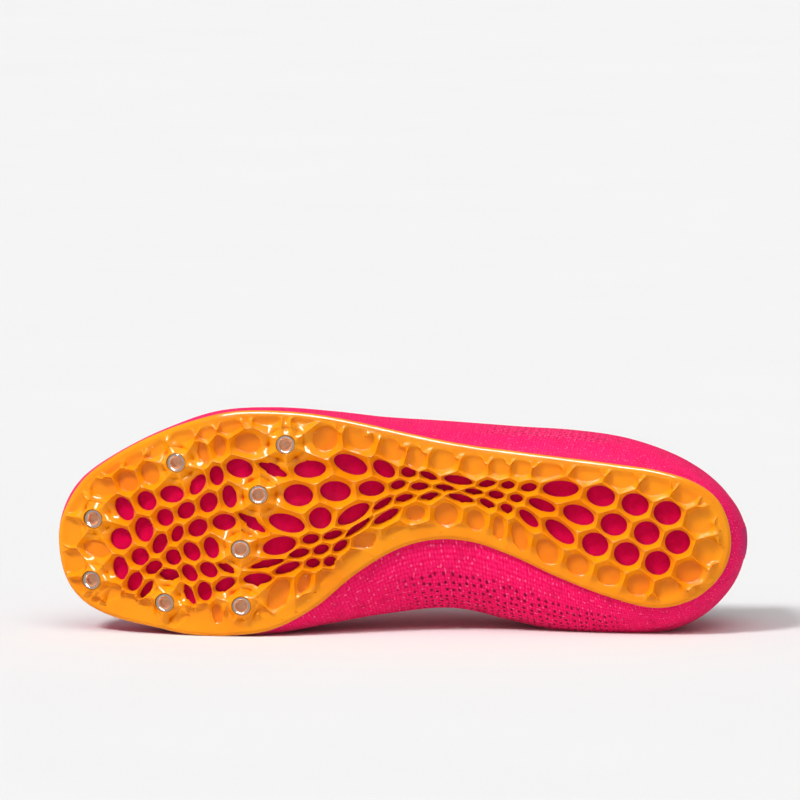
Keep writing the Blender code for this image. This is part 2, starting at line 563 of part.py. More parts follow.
def floor_reach():
    """How far the plate reaches to the medial side, where it meets the floor."""
    return float(-OUTLINE[:, 1].min())


def upper_surface(at, up):
    """Outer face of the upper at places round it (0 to 2), for heights up the wall from 0 to 2.

    The wall leaves its lower edge flat, turns up at its widest line (1), and bends in again to its top edge (2). Each
    half is a cubic curve with its ends' directions.
    """
    at, up = np.broadcast_arrays(np.asarray(at, float), np.asarray(up, float))
    lower = feather_loop(at)
    lower = above_ground(lower[..., 0], lower[..., 1], WEB_DEPTH + CLEARANCE)
    wide = loop_of(BULGE_OUTLINE, BULGE_HEEL, BULGE_TOE, at, (BULGE_HEEL_HEIGHT, BULGE_TOE_HEIGHT))
    wide_flat = to_lengths(wide[..., :2])
    height = ground(wide_flat[..., 0])[0] + WEB_DEPTH + wide[..., 2] * BULGE_HEIGHT
    widest = np.concatenate([wide_flat, height[..., None]], axis=-1)
    rows = np.array(TOP_EDGE)
    lateral = np.column_stack([rows[:, 1], rows[:, 3], rows[:, 4], rows[:, 5]])
    medial = np.column_stack([rows[:, 1], -rows[:, 2], rows[:, 4], rows[:, 5]])[-2:0:-1]
    stations = np.concatenate([rows[:, 0], 2.0 - rows[-2:0:-1, 0]])
    edge = round_loop(stations, np.concatenate([lateral, medial]), at)
    top = np.stack(
        [edge[..., 0] * SHOE_LENGTH, edge[..., 1] * BALL_WIDTH, edge[..., 2] * INSTEP_HEIGHT], axis=-1
    )
    upright = edge[..., 3:4]

    def curve(start, leave, arrive, end, share):
        share = share[..., None]
        rest = 1.0 - share
        return rest**3 * start + 3 * rest**2 * share * leave + 3 * rest * share**2 * arrive + share**3 * end

    flat = np.array([1.0, 1.0, 0.0])
    tall = np.array([0.0, 0.0, 1.0])
    slope = ground(lower[..., 0])[1]
    square = np.stack([-np.sin(slope), 0.0 * slope, np.cos(slope)], axis=-1)
    out = widest - lower
    climb = (out * square).sum(-1, keepdims=True) * square
    below = curve(lower, lower + 0.55 * (out - climb), widest - 0.66 * climb, widest, np.clip(up, 0.0, 1.0))
    rise = top - widest
    beside = curve(
        widest,
        widest + 0.5 * rise * tall,
        top - 0.45 * rise * flat - 0.45 * rise * tall * upright,
        top,
        np.clip(up - 1.0, 0.0, 1.0),
    )
    return np.where((up <= 1.0)[..., None], below, beside)


def upper_normals(at, up):
    """Unit vectors out of the upper's outer face."""
    step = 0.004
    low, high = np.clip(up - step, 0.0, 2.0), np.clip(up + step, 0.0, 2.0)
    around = upper_surface(at + step, up) - upper_surface(at - step, up)
    upwards = upper_surface(at, high) - upper_surface(at, low)
    normals = np.cross(upwards, around)
    return normals / np.linalg.norm(normals, axis=-1)[..., None]


def off_upper(at, up, distance):
    """Points off the upper's outer face by distance, out of the shoe, kept above the floor that it lies on."""
    points = upper_surface(at, up) + distance[..., None] * upper_normals(at, up)
    held = floor_reach() + np.minimum(distance, 0.0)
    points[..., 1] = np.maximum(points[..., 1], -held)
    return points


def make_upper(pink):
    """The upper: one wall from its lower edge to its top edge, with the heel strip and the eyestay as steps."""
    at, level = np.meshgrid(wall_places(), np.array(WALL_LEVELS), indexing="ij")
    from_heel = np.minimum(at, 2.0 - at)
    proud = np.where((level > EYESTAY_FROM) & (from_heel > EYESTAY_START), EYESTAY_STEP, 0.0)
    proud = np.maximum(proud, np.where((from_heel < strip_place()) & (level > 0.9), STRIP_STEP, 0.0))
    outer = off_upper(at, level, proud)
    inner = off_upper(at, level, np.full(at.shape, -UPPER_WALL))
    count, rows = at.shape
    points = np.concatenate([outer.reshape(-1, 3), inner.reshape(-1, 3)])
    half = count * rows
    faces = []
    for place in range(count):
        after = (place + 1) % count
        for row in range(rows - 1):
            quad = [place * rows + row, after * rows + row, after * rows + row + 1, place * rows + row + 1]
            faces.append(quad)
            faces.append([half + number for number in reversed(quad)])
        for row in (0, rows - 1):
            a, b = place * rows + row, after * rows + row
            faces.append([a, b, half + b, half + a] if row else [b, a, half + a, half + b])
    return build_mesh("upper", points, faces, pink)


def wall_places():
    """Places round the upper where its wall is sampled, with one pair at each edge of the heel strip."""
    side = np.linspace(0.0, 1.0, SIDE_SAMPLES)
    strip = strip_place()
    side = np.sort(np.concatenate([side[side > 1.25 * strip], [0.0, 0.97 * strip, 1.06 * strip]]))
    return np.concatenate([side, 2.0 - side[-2:0:-1]])


def lateral_places():
    """The places of the upper's wall up its lateral side, from the heel to the toe."""
    places = wall_places()
    return places[:np.argmax(places >= 1.0) + 1]


def strip_place():
    """Place round the upper where the heel strip ends."""
    fine = np.linspace(0.0, 0.3, 301)
    across = upper_surface(fine, np.full(fine.shape, 1.0))[:, 1]
    return float(np.interp(STRIP_HALF_WIDTH, across - across[0], fine))


def grid_slab(name, outer, inner, skin):
    """A closed slab between two grids of points of the same size."""
    count, width = outer.shape[:2]
    points = np.concatenate([outer.reshape(-1, 3), inner.reshape(-1, 3)])
    half = count * width
    faces = []
    for row in range(count - 1):
        for place in range(width - 1):
            quad = [row * width + place, row * width + place + 1, (row + 1) * width + place + 1, (row + 1) * width + place]
            faces.append(quad)
            faces.append([half + number for number in reversed(quad)])
        for place in (0, width - 1):
            a, b = row * width + place, (row + 1) * width + place
            faces.append([a, b, half + b, half + a])
    for row in (0, count - 1):
        folded = np.linalg.norm(outer[row, 0] - outer[row, -1]) < 0.01 * MM
        for place in range(0 if folded else width - 1):
            a, b = row * width + place, row * width + place + 1
            faces.append([a, b, half + b, half + a])
    return build_mesh(name, points, faces, skin)


def rungs(at, loops):
    """Rows across the shoe from loops of points, outermost first, for places up one side and their mirrors."""
    lateral = [loop(at) for loop in loops]
    medial = [loop(2.0 - at) for loop in reversed(loops)]
    return np.stack(lateral + medial, axis=1)


def flat_rim(distance, rise):
    """Loop of points at a height over the ground line, inside the plate's outline by distance."""

    def loop(at):
        flat = feather_loop(at, distance)
        return above_ground(flat[:, 0], flat[:, 1], np.full(len(at), rise))

    return loop


def make_board(dark_pink):
    """The sheet that closes the upper underneath and shows through the plate's holes."""
    at = lateral_places()
    base = WEB_DEPTH + CLEARANCE
    faces = [rungs(at, [flat_rim(FEATHER_INSET + CLEARANCE, rise)]) for rise in (base, base + BOARD_THICKNESS)]
    return grid_slab("strobel_board", *faces, dark_pink)


def make_insole(pink):
    """The insole: flat over the board, and turned up where it lies on the upper's wall."""
    at = lateral_places()
    seat = WEB_DEPTH + CLEARANCE + UPPER_WALL + CLEARANCE

    def edge(thick):
        def loop(at):
            line = off_upper(at, np.full(len(at), WALL_LEVELS[1]), np.full(len(at), -UPPER_WALL - CLEARANCE))
            slope = ground(line[:, 0])[1]
            inwards = feather_loop(at, FEATHER_INSET + 2.2 * UPPER_WALL) - line[:, :2]
            inwards *= INSOLE_LEAN * thick / np.linalg.norm(inwards, axis=1)[:, None]
            line[:, :2] += inwards
            return line + thick * np.stack([-np.sin(slope), 0.0 * slope, np.cos(slope)], axis=-1)

        return loop

    faces = [
        rungs(at, [edge(thick), flat_rim(FEATHER_INSET + 2.2 * UPPER_WALL, seat + thick)])
        for thick in (0.0, INSOLE_THICKNESS)
    ]
    return grid_slab("insole", *faces, pink)


def make_tongue(pink):
    """The tongue: a padded sheet under both sides of the throat, which stands up past its top."""
    stations = np.array([0.50, 0.56, 0.62, 0.69, 0.76, 0.83, 0.90, 0.95, 1.0])
    rows = {}
    for face, more in (("outer", 0.0), ("inner", TONGUE_THICKNESS)):
        gap = UPPER_WALL + 2.0 * CLEARANCE + more
        lines = []
        for place in stations:
            sides = np.array([place, place, place, 2.0 - place, 2.0 - place, 2.0 - place])
            levels = 1.0 + np.array([TONGUE_REACH, 0.9, 1.0, 1.0, 0.9, TONGUE_REACH])
            points = off_upper(sides, levels, np.full(6, -gap))
            middle = 0.5 * (points[2] + points[3]) + np.array([0.0, 0.0, TONGUE_CROWN * min(1.0, (1.0 - place) * 8)])
            lines.append(np.insert(points, 3, middle, axis=0))
        lines = np.array(lines)
        rise = lines[0] - lines[1]
        rise /= np.linalg.norm(rise, axis=1)[:, None]
        tops = []
        for share, narrow in ((1.0, 0.72), (0.5, 0.9)):
            top = lines[0] + share * TONGUE_RISE * rise[3]
            top[:, 1] = top[3, 1] + narrow * (top[:, 1] - top[3, 1])
            tops.append(top)
        rows[face] = np.concatenate([np.array(tops), lines])
    return grid_slab("tongue", rows["outer"], rows["inner"], pink)


def eyelet_places():
    """Places round the lateral side of the lace's rows, from the throat's front up."""
    return np.linspace(0.85, 0.53, LACE_ROWS)


def lace_point(place, level, lateral):
    """A point of the lace's centre line, off the upper."""
    at = place if lateral else 2.0 - place
    lift = EYESTAY_STEP + CLEARANCE + 1.15 * LACE_RADIUS
    return off_upper(np.array([at]), np.array([1.0 + level]), np.array([lift]))[0]


def lace_run(low, high, from_lateral):
    """Points of one run of lace, from near an eyelet on one side to near the next eyelet on the other."""
    step = LACE_END / SHOE_LENGTH
    start, end = low - step, high + step
    if low == high:
        start, end = low, high
    line = [
        lace_point(start, EYELET_AT, from_lateral),
        lace_point(start + 0.3 * (end - start), 1.0, from_lateral),
        lace_point(start + 0.7 * (end - start), 1.0, not from_lateral),
        lace_point(end, EYELET_AT, not from_lateral),
    ]
    middle = 0.5 * (line[1] + line[2])
    middle[1] = 0.5 * (lace_point(low, 1.0, True)[1] + lace_point(low, 1.0, False)[1])
    line = np.array(line[:2] + [middle] + line[2:])
    run = np.concatenate([[0.0], np.cumsum(np.linalg.norm(np.diff(line, axis=0), axis=1))])
    return through(run, line, np.linspace(0.0, run[-1], LACE_POINTS))


def lace_tube(name, points):
    """A round cord along the points, as a closed mesh."""
    curve = bpy.data.curves.new(name, "CURVE")
    curve.dimensions = "3D"
    curve.bevel_depth = LACE_RADIUS
    curve.bevel_resolution = 1
    curve.use_fill_caps = True
    spline = curve.splines.new("POLY")
    spline.points.add(len(points) - 1)
    spline.points.foreach_set("co", np.column_stack([points, np.ones(len(points))]).ravel())
    cord = bpy.data.objects.new(name, curve)
    COLLECTION.objects.link(cord)
    mesh = bpy.data.meshes.new_from_object(cord.evaluated_get(bpy.context.evaluated_depsgraph_get()))
    bpy.data.objects.remove(cord, do_unlink=True)
    work = bmesh.new()
    work.from_mesh(mesh)
    bmesh.ops.remove_doubles(work, verts=work.verts, dist=0.01 * MM)
    bmesh.ops.recalc_face_normals(work, faces=work.faces)
    work.to_mesh(mesh)
    work.free()
    obj = bpy.data.objects.new(name, mesh)
    obj.parent = LYING
    return obj


def make_lace(pink):
    """The lace over the tongue: a bar at the front, then one crossing of two joined runs between each pair of rows."""
    rows = eyelet_places()
    bar = lace_tube("lace_bar", lace_run(rows[0] + 0.05, rows[0] + 0.05, True))
    COLLECTION.objects.link(bar)
    bar.data.materials.append(pink)
    for number, (low, high) in enumerate(zip(rows[:-1], rows[1:]), 1):
        lace = lace_tube(f"lace_crossing_{number}", lace_run(low, high, True))
        other = lace_tube(f"lace_under_{number}", lace_run(low, high, False))
        COLLECTION.objects.link(lace)
        lace.data.materials.append(pink)
        CUTTERS.objects.link(other)
        other.hide_render = True
        other.display_type = "WIRE"
        joined = lace.modifiers.new("joined", "BOOLEAN")
        joined.operation = "UNION"
        joined.object = other


def lie_down():
    """Turn the shoe onto its medial side and centre it over the floor."""
    turn = Matrix(((-1.0, 0.0, 0.0), (0.0, 0.0, 1.0), (0.0, 1.0, 0.0)))
    LYING.matrix_world = turn.to_4x4()
    bpy.context.view_layer.update()
    graph = bpy.context.evaluated_depsgraph_get()
    corners = []
    for obj in COLLECTION.objects:
        if obj.type == "MESH":
            ready = obj.evaluated_get(graph)
            corners += [ready.matrix_world @ vertex.co for vertex in ready.data.vertices]
    spread = np.array(corners)
    low, high = spread.min(axis=0), spread.max(axis=0)
    LYING.location = Vector((-0.5 * (low[0] + high[0]), -0.5 * (low[1] + high[1]), -low[2]))
    LYING.rotation_euler = turn.to_euler()


clear_scene()
COLLECTION = bpy.data.collections.new("track_spike_shoe")
CUTTERS = bpy.data.collections.new("cutters")
bpy.context.scene.collection.children.link(COLLECTION)
bpy.context.scene.collection.children.link(CUTTERS)
LYING = bpy.data.objects.new("shoe_lying", None)
COLLECTION.objects.link(LYING)

make_plate(material("orange_plate", ORANGE, 0.22))
make_sockets(material("steel", STEEL, 0.3, 1.0))
knit = material("pink_knit", PINK, 0.7)
make_upper(knit)
make_board(material("dark_pink_board", DARK_PINK, 0.8))
make_insole(material("pink_insole", PINK, 0.85))
make_tongue(material("pink_tongue", PINK, 0.75))
make_lace(material("pink_lace", PINK, 0.7))
lie_down()
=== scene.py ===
"""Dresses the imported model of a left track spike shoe, which lies on its medial side, sole to the camera.

Shapes are worked out in the shoe's own frame: X from the back of the heel to the toe, Y to the lateral side,
Z up from the ground line. ShoeForm.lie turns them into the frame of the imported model.
"""

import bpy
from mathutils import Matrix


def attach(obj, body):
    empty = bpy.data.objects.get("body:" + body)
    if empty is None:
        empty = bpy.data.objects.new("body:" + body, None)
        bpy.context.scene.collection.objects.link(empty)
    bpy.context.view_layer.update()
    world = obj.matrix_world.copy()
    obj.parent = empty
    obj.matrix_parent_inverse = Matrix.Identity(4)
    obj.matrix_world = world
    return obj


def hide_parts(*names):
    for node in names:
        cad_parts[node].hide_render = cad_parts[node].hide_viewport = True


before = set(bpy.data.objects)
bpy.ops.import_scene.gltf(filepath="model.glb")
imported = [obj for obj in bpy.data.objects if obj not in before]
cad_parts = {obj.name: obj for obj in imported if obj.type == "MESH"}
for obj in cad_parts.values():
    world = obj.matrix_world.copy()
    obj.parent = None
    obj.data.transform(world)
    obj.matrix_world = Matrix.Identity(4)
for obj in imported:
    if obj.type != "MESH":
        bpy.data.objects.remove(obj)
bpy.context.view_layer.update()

import logging
import math
from dataclasses import dataclass, field
from enum import Enum
from typing import Callable, Sequence

import bmesh
import bpy
import numpy as np
from mathutils import Vector
from numpy.typing import NDArray

Array = NDArray[np.float64]
Loop = Callable[[Array], Array]
Colour = tuple[float, float, float, float]

MM = 0.001
FULL_TURN = 2.0 * np.pi
LOG = logging.getLogger("track_spike_shoe")

# Places round a loop run from 0 at the heel, over 1 at the toe, to this at the heel again
LOOP_END = 2.0

# A short step, as a share of the length or of one side of a loop, for slopes and normals
SHORT_STEP = 0.004

# The least size that is divided by
TINY = 1e-9

# A direction that no cord follows, from which the vectors square to one are worked out
ASIDE = (0.31, 0.17, 0.93)

# Ground line under the plate: share of the length, share of the toe spring
GROUND = (
    (0.00, 0.13), (0.07, 0.02), (0.145, 0.0), (0.29, 0.11), (0.40, 0.22), (0.51, 0.17), (0.62, 0.04),
    (0.69, 0.0), (0.76, 0.065), (0.83, 0.24), (0.905, 0.52), (0.96, 0.78), (1.0, 1.0), (1.04, 1.23),
)

# Plate outline: share along, medial and lateral reach as shares of the ball width
PLATE_HEEL = (0.020, -0.015)
PLATE_TOE = (1.000, -0.020)
PLATE_OUTLINE = (
    (0.040, 0.178, 0.174), (0.080, 0.267, 0.258), (0.130, 0.298, 0.303), (0.200, 0.250, 0.333),
    (0.280, 0.157, 0.362), (0.340, 0.075, 0.383), (0.400, 0.015, 0.406), (0.440, 0.005, 0.428),
    (0.500, 0.044, 0.468), (0.560, 0.148, 0.511), (0.620, 0.293, 0.546), (0.680, 0.388, 0.562),
    (0.740, 0.419, 0.559), (0.800, 0.421, 0.516), (0.860, 0.392, 0.445), (0.920, 0.355, 0.344),
    (0.965, 0.290, 0.234), (0.990, 0.190, 0.110),
)

# Widest line of the upper: share along, medial and lateral reach, height as a share of the bulge height
BULGE_HEEL = (0.000, -0.030)
BULGE_TOE = (0.990, -0.020)
BULGE_OUTLINE = (
    (0.025, 0.255, 0.165, 1.00), (0.060, 0.362, 0.262, 1.00), (0.110, 0.434, 0.345, 1.02),
    (0.180, 0.462, 0.412, 1.05), (0.250, 0.450, 0.440, 1.05), (0.330, 0.400, 0.452, 1.04),
    (0.420, 0.342, 0.468, 1.00), (0.520, 0.360, 0.494, 0.90), (0.600, 0.392, 0.530, 0.75),
    (0.680, 0.428, 0.553, 0.65), (0.760, 0.432, 0.541, 0.55), (0.840, 0.410, 0.458, 0.50),
    (0.910, 0.345, 0.345, 0.48), (0.960, 0.255, 0.225, 0.45),
)
BULGE_HEEL_HEIGHT = 1.10
BULGE_TOE_HEIGHT = 0.42

# Top edge of the upper, round the collar and the throat: place round each side from heel to toe, share along,
# medial and lateral reach, height as a share of the instep height, and how upright the wall meets the edge
TOP_EDGE = (
    (0.00, 0.030, 0.020, -0.020, 0.760, 1.00),
    (0.12, 0.045, 0.205, 0.165, 0.735, 1.00),
    (0.22, 0.110, 0.345, 0.320, 0.650, 1.00),
    (0.31, 0.205, 0.412, 0.405, 0.585, 1.00),
    (0.39, 0.300, 0.355, 0.385, 0.700, 0.90),
    (0.46, 0.375, 0.225, 0.290, 0.900, 0.70),
    (0.53, 0.440, 0.150, 0.215, 0.960, 0.55),
    (0.64, 0.520, 0.130, 0.195, 0.880, 0.45),
    (0.78, 0.595, 0.105, 0.165, 0.785, 0.40),
    (0.90, 0.640, 0.060, 0.110, 0.725, 0.36),
    (1.00, 0.655, -0.020, 0.020, 0.705, 0.35),
)

# Web of the plate, each cell an ellipse: percent along, percent across, half length and half width in percent
# of the ball width, and the turn in degrees from the toe towards the lateral side
OPEN_HEEL = (
    (16.1, 15.4, 6.0, 4.8, 15), (11.4, 11.7, 6.0, 5.2, 10), (14.4, 2.9, 5.6, 5.1, 10),
    (9.9, -1.0, 5.5, 5.2, 5), (19.2, 6.6, 5.8, 4.8, 12), (17.3, -6.2, 5.6, 5.1, 15),
    (12.8, -10.1, 5.5, 5.2, 10), (21.1, 19.0, 6.2, 4.5, 12), (26.9, 22.0, 7.7, 3.5, 0),
    (24.3, 10.7, 7.0, 4.0, 20), (21.9, -2.1, 5.8, 5.0, 25), (27.0, 3.2, 7.5, 3.4, 38),
    (29.6, 14.8, 6.0, 2.3, 20), (31.5, 8.9, 5.2, 2.2, 42), (31.5, 22.5, 3.4, 1.7, -5),
)
OPEN_WAIST = (
    (34.5, 23.4, 2.8, 1.5, 0), (33.3, 17.7, 2.7, 1.6, 8), (34.7, 13.3, 2.6, 1.7, 20),
    (36.2, 19.1, 3.2, 1.6, 8), (37.5, 23.9, 3.5, 1.3, -8), (37.5, 15.4, 3.3, 1.3, 25),
    (39.4, 20.5, 3.6, 1.0, 7), (41.2, 17.6, 5.2, 1.4, 14), (41.6, 25.4, 6.0, 1.8, 10),
    (43.5, 22.2, 3.8, 1.0, 8), (45.8, 27.4, 3.7, 1.3, 22), (45.7, 18.6, 3.8, 1.1, -12),
    (47.1, 22.8, 3.6, 1.5, 0), (48.7, 29.0, 3.1, 2.2, 5), (50.2, 23.6, 3.1, 1.7, -15),
    (49.3, 17.8, 3.7, 1.3, -13), (52.2, 30.5, 5.2, 3.1, 35), (54.0, 22.0, 5.5, 3.3, 0),
    (52.4, 15.4, 4.4, 1.4, -33), (51.9, 9.8, 5.8, 1.8, -30),
)
OPEN_BALL = (
    (57.0, 32.6, 7.6, 3.9, 22), (59.2, 21.0, 6.7, 4.4, 5), (56.6, 11.0, 7.6, 3.2, -30),
    (56.0, 5.2, 6.1, 1.2, -36), (62.9, 30.7, 6.9, 3.7, -3), (64.6, 19.4, 6.4, 4.8, 5),
    (61.4, 9.4, 4.9, 4.7, 0), (66.3, 7.3, 8.1, 3.8, 15), (68.3, 30.6, 6.7, 1.8, 24),
    (67.4, -2.6, 7.4, 3.8, -12), (62.8, 0.3, 3.5, 2.0, -8), (59.6, 2.0, 4.1, 1.6, -15),
    (64.5, -5.8, 4.3, 1.8, -10), (61.3, -4.3, 3.3, 1.9, -18), (58.5, -2.8, 3.4, 1.7, -35),
    (69.2, -10.4, 7.2, 1.4, -13), (66.2, -12.2, 5.6, 1.9, -20), (62.5, -10.2, 2.9, 1.9, -5),
    (60.0, -9.5, 2.6, 2.0, -15), (70.6, -17.0, 6.2, 2.3, -3), (71.4, 7.4, 7.0, 1.6, 34),
    (73.2, 31.1, 5.9, 4.0, 12), (76.6, 27.8, 4.2, 3.1, 85), (79.4, 23.7, 5.0, 2.8, -57),
)
OPEN_TOE = (
    (74.7, 18.8, 4.9, 3.1, 80), (83.2, 19.2, 5.2, 3.7, -3), (77.8, 16.0, 4.5, 3.7, -60),
    (81.1, 12.3, 4.2, 3.3, -40), (75.5, 7.6, 5.1, 3.5, -3), (79.4, 4.8, 4.5, 3.5, -35),
    (82.4, 2.0, 3.7, 2.4, -65), (84.2, 8.9, 3.7, 3.7, 0), (86.9, 15.9, 4.4, 3.9, 45),
    (90.2, 12.0, 5.4, 3.7, 60), (87.3, 3.3, 5.4, 4.0, 80), (90.7, -1.2, 4.8, 4.7, 0),
    (85.0, -2.6, 4.7, 2.9, -62), (80.3, -5.6, 4.4, 3.3, 50), (77.4, -3.7, 4.7, 3.2, 72),
    (83.0, -8.3, 3.4, 3.4, 0), (87.9, -8.7, 3.9, 3.7, -20), (85.9, -13.1, 3.9, 2.6, -30),
    (77.8, -13.4, 4.1, 3.0, 30), (80.6, -15.0, 4.1, 2.8, 48), (83.6, -15.8, 4.4, 2.2, 3),
    (90.8, -14.0, 5.0, 3.3, 80), (75.2, -12.6, 3.9, 1.3, 28), (75.4, -19.7, 4.7, 2.5, -28),
    (78.4, -22.8, 4.1, 3.1, 80), (80.6, -24.3, 4.6, 1.6, 63), (88.7, -19.6, 4.5, 2.9, -60),
    (87.0, -22.9, 4.6, 1.5, -55),
)

# Blind pits, which keep a floor of plastic
PITS = (
    (8.2, -14.0, 6.0, 5.1, 0), (15.6, -19.7, 5.2, 4.9, 0), (19.9, -15.6, 5.3, 4.6, 20),
    (24.4, -11.1, 5.5, 4.6, 40), (28.8, -5.4, 6.3, 4.4, 60), (32.8, 0.9, 6.6, 3.1, 72),
    (35.8, 4.5, 5.3, 2.4, 85), (39.1, 7.8, 4.8, 3.9, 70), (43.3, 10.3, 5.4, 5.1, 45),
    (47.7, 11.1, 4.2, 3.5, 0), (55.0, -0.6, 5.2, 3.4, -20), (60.7, 44.0, 5.8, 5.6, 90),
    (72.0, 42.2, 6.0, 4.6, 8), (76.1, 40.6, 4.6, 2.8, 85), (78.5, 37.7, 4.9, 2.1, 72),
    (86.3, 28.0, 5.1, 3.9, 68), (89.7, 24.2, 4.9, 4.4, 40), (94.3, -6.1, 6.1, 3.7, 12),
    (67.5, -23.7, 7.6, 4.3, -62), (63.8, -18.8, 4.7, 2.6, -68), (76.5, -32.4, 4.4, 2.3, 80),
)

# Shallow bays, which open onto the rim
BAYS = (
    (6.6, 8.2, 6.4, 5.6, 0), (5.4, -5.2, 5.8, 5.5, 0), (11.3, -21.8, 5.2, 4.6, 0),
    (8.5, 20.4, 6.0, 4.5, -25), (13.2, 23.7, 6.5, 4.5, -8), (18.1, 26.5, 6.5, 4.0, 0),
    (23.0, 28.8, 6.5, 3.5, 0), (28.9, 29.8, 6.5, 3.0, 0), (32.5, 30.8, 4.5, 3.2, 0),
    (35.7, 31.2, 4.0, 3.5, 0), (39.3, 31.6, 5.0, 4.0, 0), (43.8, 34.0, 5.5, 4.2, 0),
    (47.7, 35.0, 4.0, 4.5, 0), (51.0, 38.5, 5.5, 4.3, 30), (55.8, 44.2, 6.5, 5.0, 25),
    (63.9, 52.2, 4.5, 1.6, 0), (69.2, 52.4, 5.5, 2.2, 0), (74.7, 49.2, 5.0, 2.8, -12),
    (78.0, 46.2, 4.0, 2.5, -20), (81.3, 44.7, 4.5, 2.5, -20), (85.7, 38.4, 4.5, 3.0, -40),
    (88.7, 34.3, 4.5, 2.8, -35), (92.0, 30.5, 5.0, 2.5, -40), (93.1, 21.2, 5.5, 3.8, -10),
    (97.4, 14.0, 5.0, 3.0, -60), (98.2, 0.5, 5.8, 4.5, 90), (97.9, -11.9, 5.0, 5.0, 0),
    (97.2, -23.0, 3.5, 3.0, 0), (94.3, -30.0, 3.5, 2.5, 0), (91.6, -26.8, 5.0, 3.2, -70),
    (89.5, -29.3, 4.5, 3.0, -75), (87.3, -31.5, 4.5, 3.0, -75), (81.0, -35.9, 3.5, 3.0, 0),
    (79.0, -35.1, 4.0, 2.2, 85), (70.0, -34.0, 4.5, 3.5, -60), (60.8, -16.4, 3.5, 2.5, -60),
    (56.6, -7.5, 4.5, 2.5, -30), (50.4, 2.0, 4.5, 3.5, 0), (46.5, 3.6, 4.0, 2.5, 0),
    (42.0, 3.0, 3.5, 2.2, 0),
)

# Spike sockets: percent along and percent across
SOCKETS = (
    (66.5, 41.9), (70.4, 20.0), (73.0, -3.8), (84.0, -28.0), (72.9, -28.6), (94.4, 7.3), (94.7, -19.6),
    (82.3, 33.3),
)

# Outer ends of the web's ridges on the rim, where each ridge forks and fades: percent along and across
FORK_TIPS = (
    (15.4, 28.3), (10.5, 24.6), (6.3, 16.9), (4.3, 7.8), (3.4, -1.0), (4.4, -11.3), (7.0, -21.5),
    (13.5, -25.7), (20.5, 30.4), (25.8, 32.0), (30.7, 33.3), (34.4, 34.5), (37.6, 35.0), (41.9, 37.4),
    (46.5, 39.7), (49.7, 42.0), (54.4, 46.5), (58.7, 49.5), (66.4, 53.3), (72.2, 52.6), (76.5, 49.9),
    (79.6, 47.4), (83.4, 45.5), (87.0, 37.7), (90.3, 32.8), (93.5, 26.4), (95.6, 19.6), (98.7, 7.6),
    (98.8, -6.6), (98.7, -18.5), (95.2, -27.7), (93.4, -29.8), (90.3, -25.5), (88.2, -28.0), (82.8, -39.3),
    (80.3, -31.5), (78.3, -29.5), (75.1, -33.2), (72.9, -38.5), (70.5, -33.6), (63.6, -25.0), (58.8, -10.5),
)

# Soft troughs and ridges of the upper: place round it and height up its wall at both ends, width and depth in
# millimetres, with a ridge as a depth below zero
CREASES = (
    (0.585, 1.62, 0.640, 1.20, 7.0, 1.1), (0.640, 1.80, 0.700, 1.30, 6.0, 0.9),
    (0.700, 1.85, 0.770, 1.42, 6.0, 0.8), (1.415, 1.62, 1.360, 1.22, 7.0, 1.0),
    (1.360, 1.80, 1.300, 1.32, 6.0, 0.8), (1.300, 1.85, 1.230, 1.45, 6.0, 0.7),
    (0.140, 1.70, 0.260, 1.35, 9.0, 0.9), (1.860, 1.70, 1.740, 1.36, 9.0, 0.9),
    (0.330, 1.95, 0.350, 1.30, 8.0, 0.8), (1.670, 1.95, 1.650, 1.32, 8.0, 0.8),
    (0.420, 1.30, 0.520, 1.10, 9.0, -0.5), (1.580, 0.86, 1.430, 0.74, 2.2, -0.35),
    (0.780, 1.30, 0.830, 1.20, 7.0, 0.6), (1.220, 1.30, 1.170, 1.20, 7.0, 0.6),
    (0.040, 1.55, 0.110, 1.40, 6.0, 0.5),
)

# Rolled rim from the inner face out: distance inside the plate's outline and depth, both in millimetres
RIM_ROLL = (
    (2.6, 0.0), (0.55, 0.0), (0.10, 0.09), (0.0, 0.40), (-0.02, 0.68), (0.09, 1.02), (0.34, 1.34),
    (0.68, 1.60), (1.04, 1.82), (1.38, 1.99),
)

# The rim's strip under the cells beside it: distance past the rim's limit, and drop below the plate's face
RIM_BACKING = ((-0.1, 0.0), (0.25, 0.12), (0.9, 0.30))

# Rings of a cell: shares of the way from its edge to its border, shares of its radius over a bay or a fork,
# and in a pit shares of its radius with the rise off the floor in millimetres
FLANK = (0.0, 0.06, 0.18, 0.34, 0.52, 0.68, 0.82, 0.92, 0.97, 1.0)
DISC = (0.0, 0.25, 0.5, 0.75, 0.9)
PIT_FLOOR = ((0.0, 0.0), (0.45, 0.0), (0.85, 0.0), (0.93, 0.05), (0.965, 0.35))


def smooth_step(share: Array) -> Array:
    """An even rise from 0 to 1: 3s squared less 2s cubed, held at both ends.

    Args:
        share: where each point stands between the ends.

    Returns:
        The risen values.
    """
    held = np.clip(share, 0.0, 1.0)
    return held * held * (3.0 - 2.0 * held)


def bell(share: Array) -> Array:
    """A bell curve, 1 at a share of 0: e to the power of minus the square."""
    return np.exp(-share * share)


def unit(vectors: Array) -> Array:
    """Vectors brought to length 1."""
    return vectors / np.linalg.norm(vectors, axis=-1, keepdims=True)


def evenly(end: float, count: int) -> Array:
    """Even steps from 0 towards an end that isn't reached, as round a closed loop."""
    return np.linspace(0.0, end, count, endpoint=False)


def ring_of(first: Array, second: Array, sides: int) -> Array:
    """Points round a circle: the cosine of each turn times one vector, and its sine times another."""
    turn = evenly(FULL_TURN, sides)[:, None]
    return np.cos(turn) * first + np.sin(turn) * second


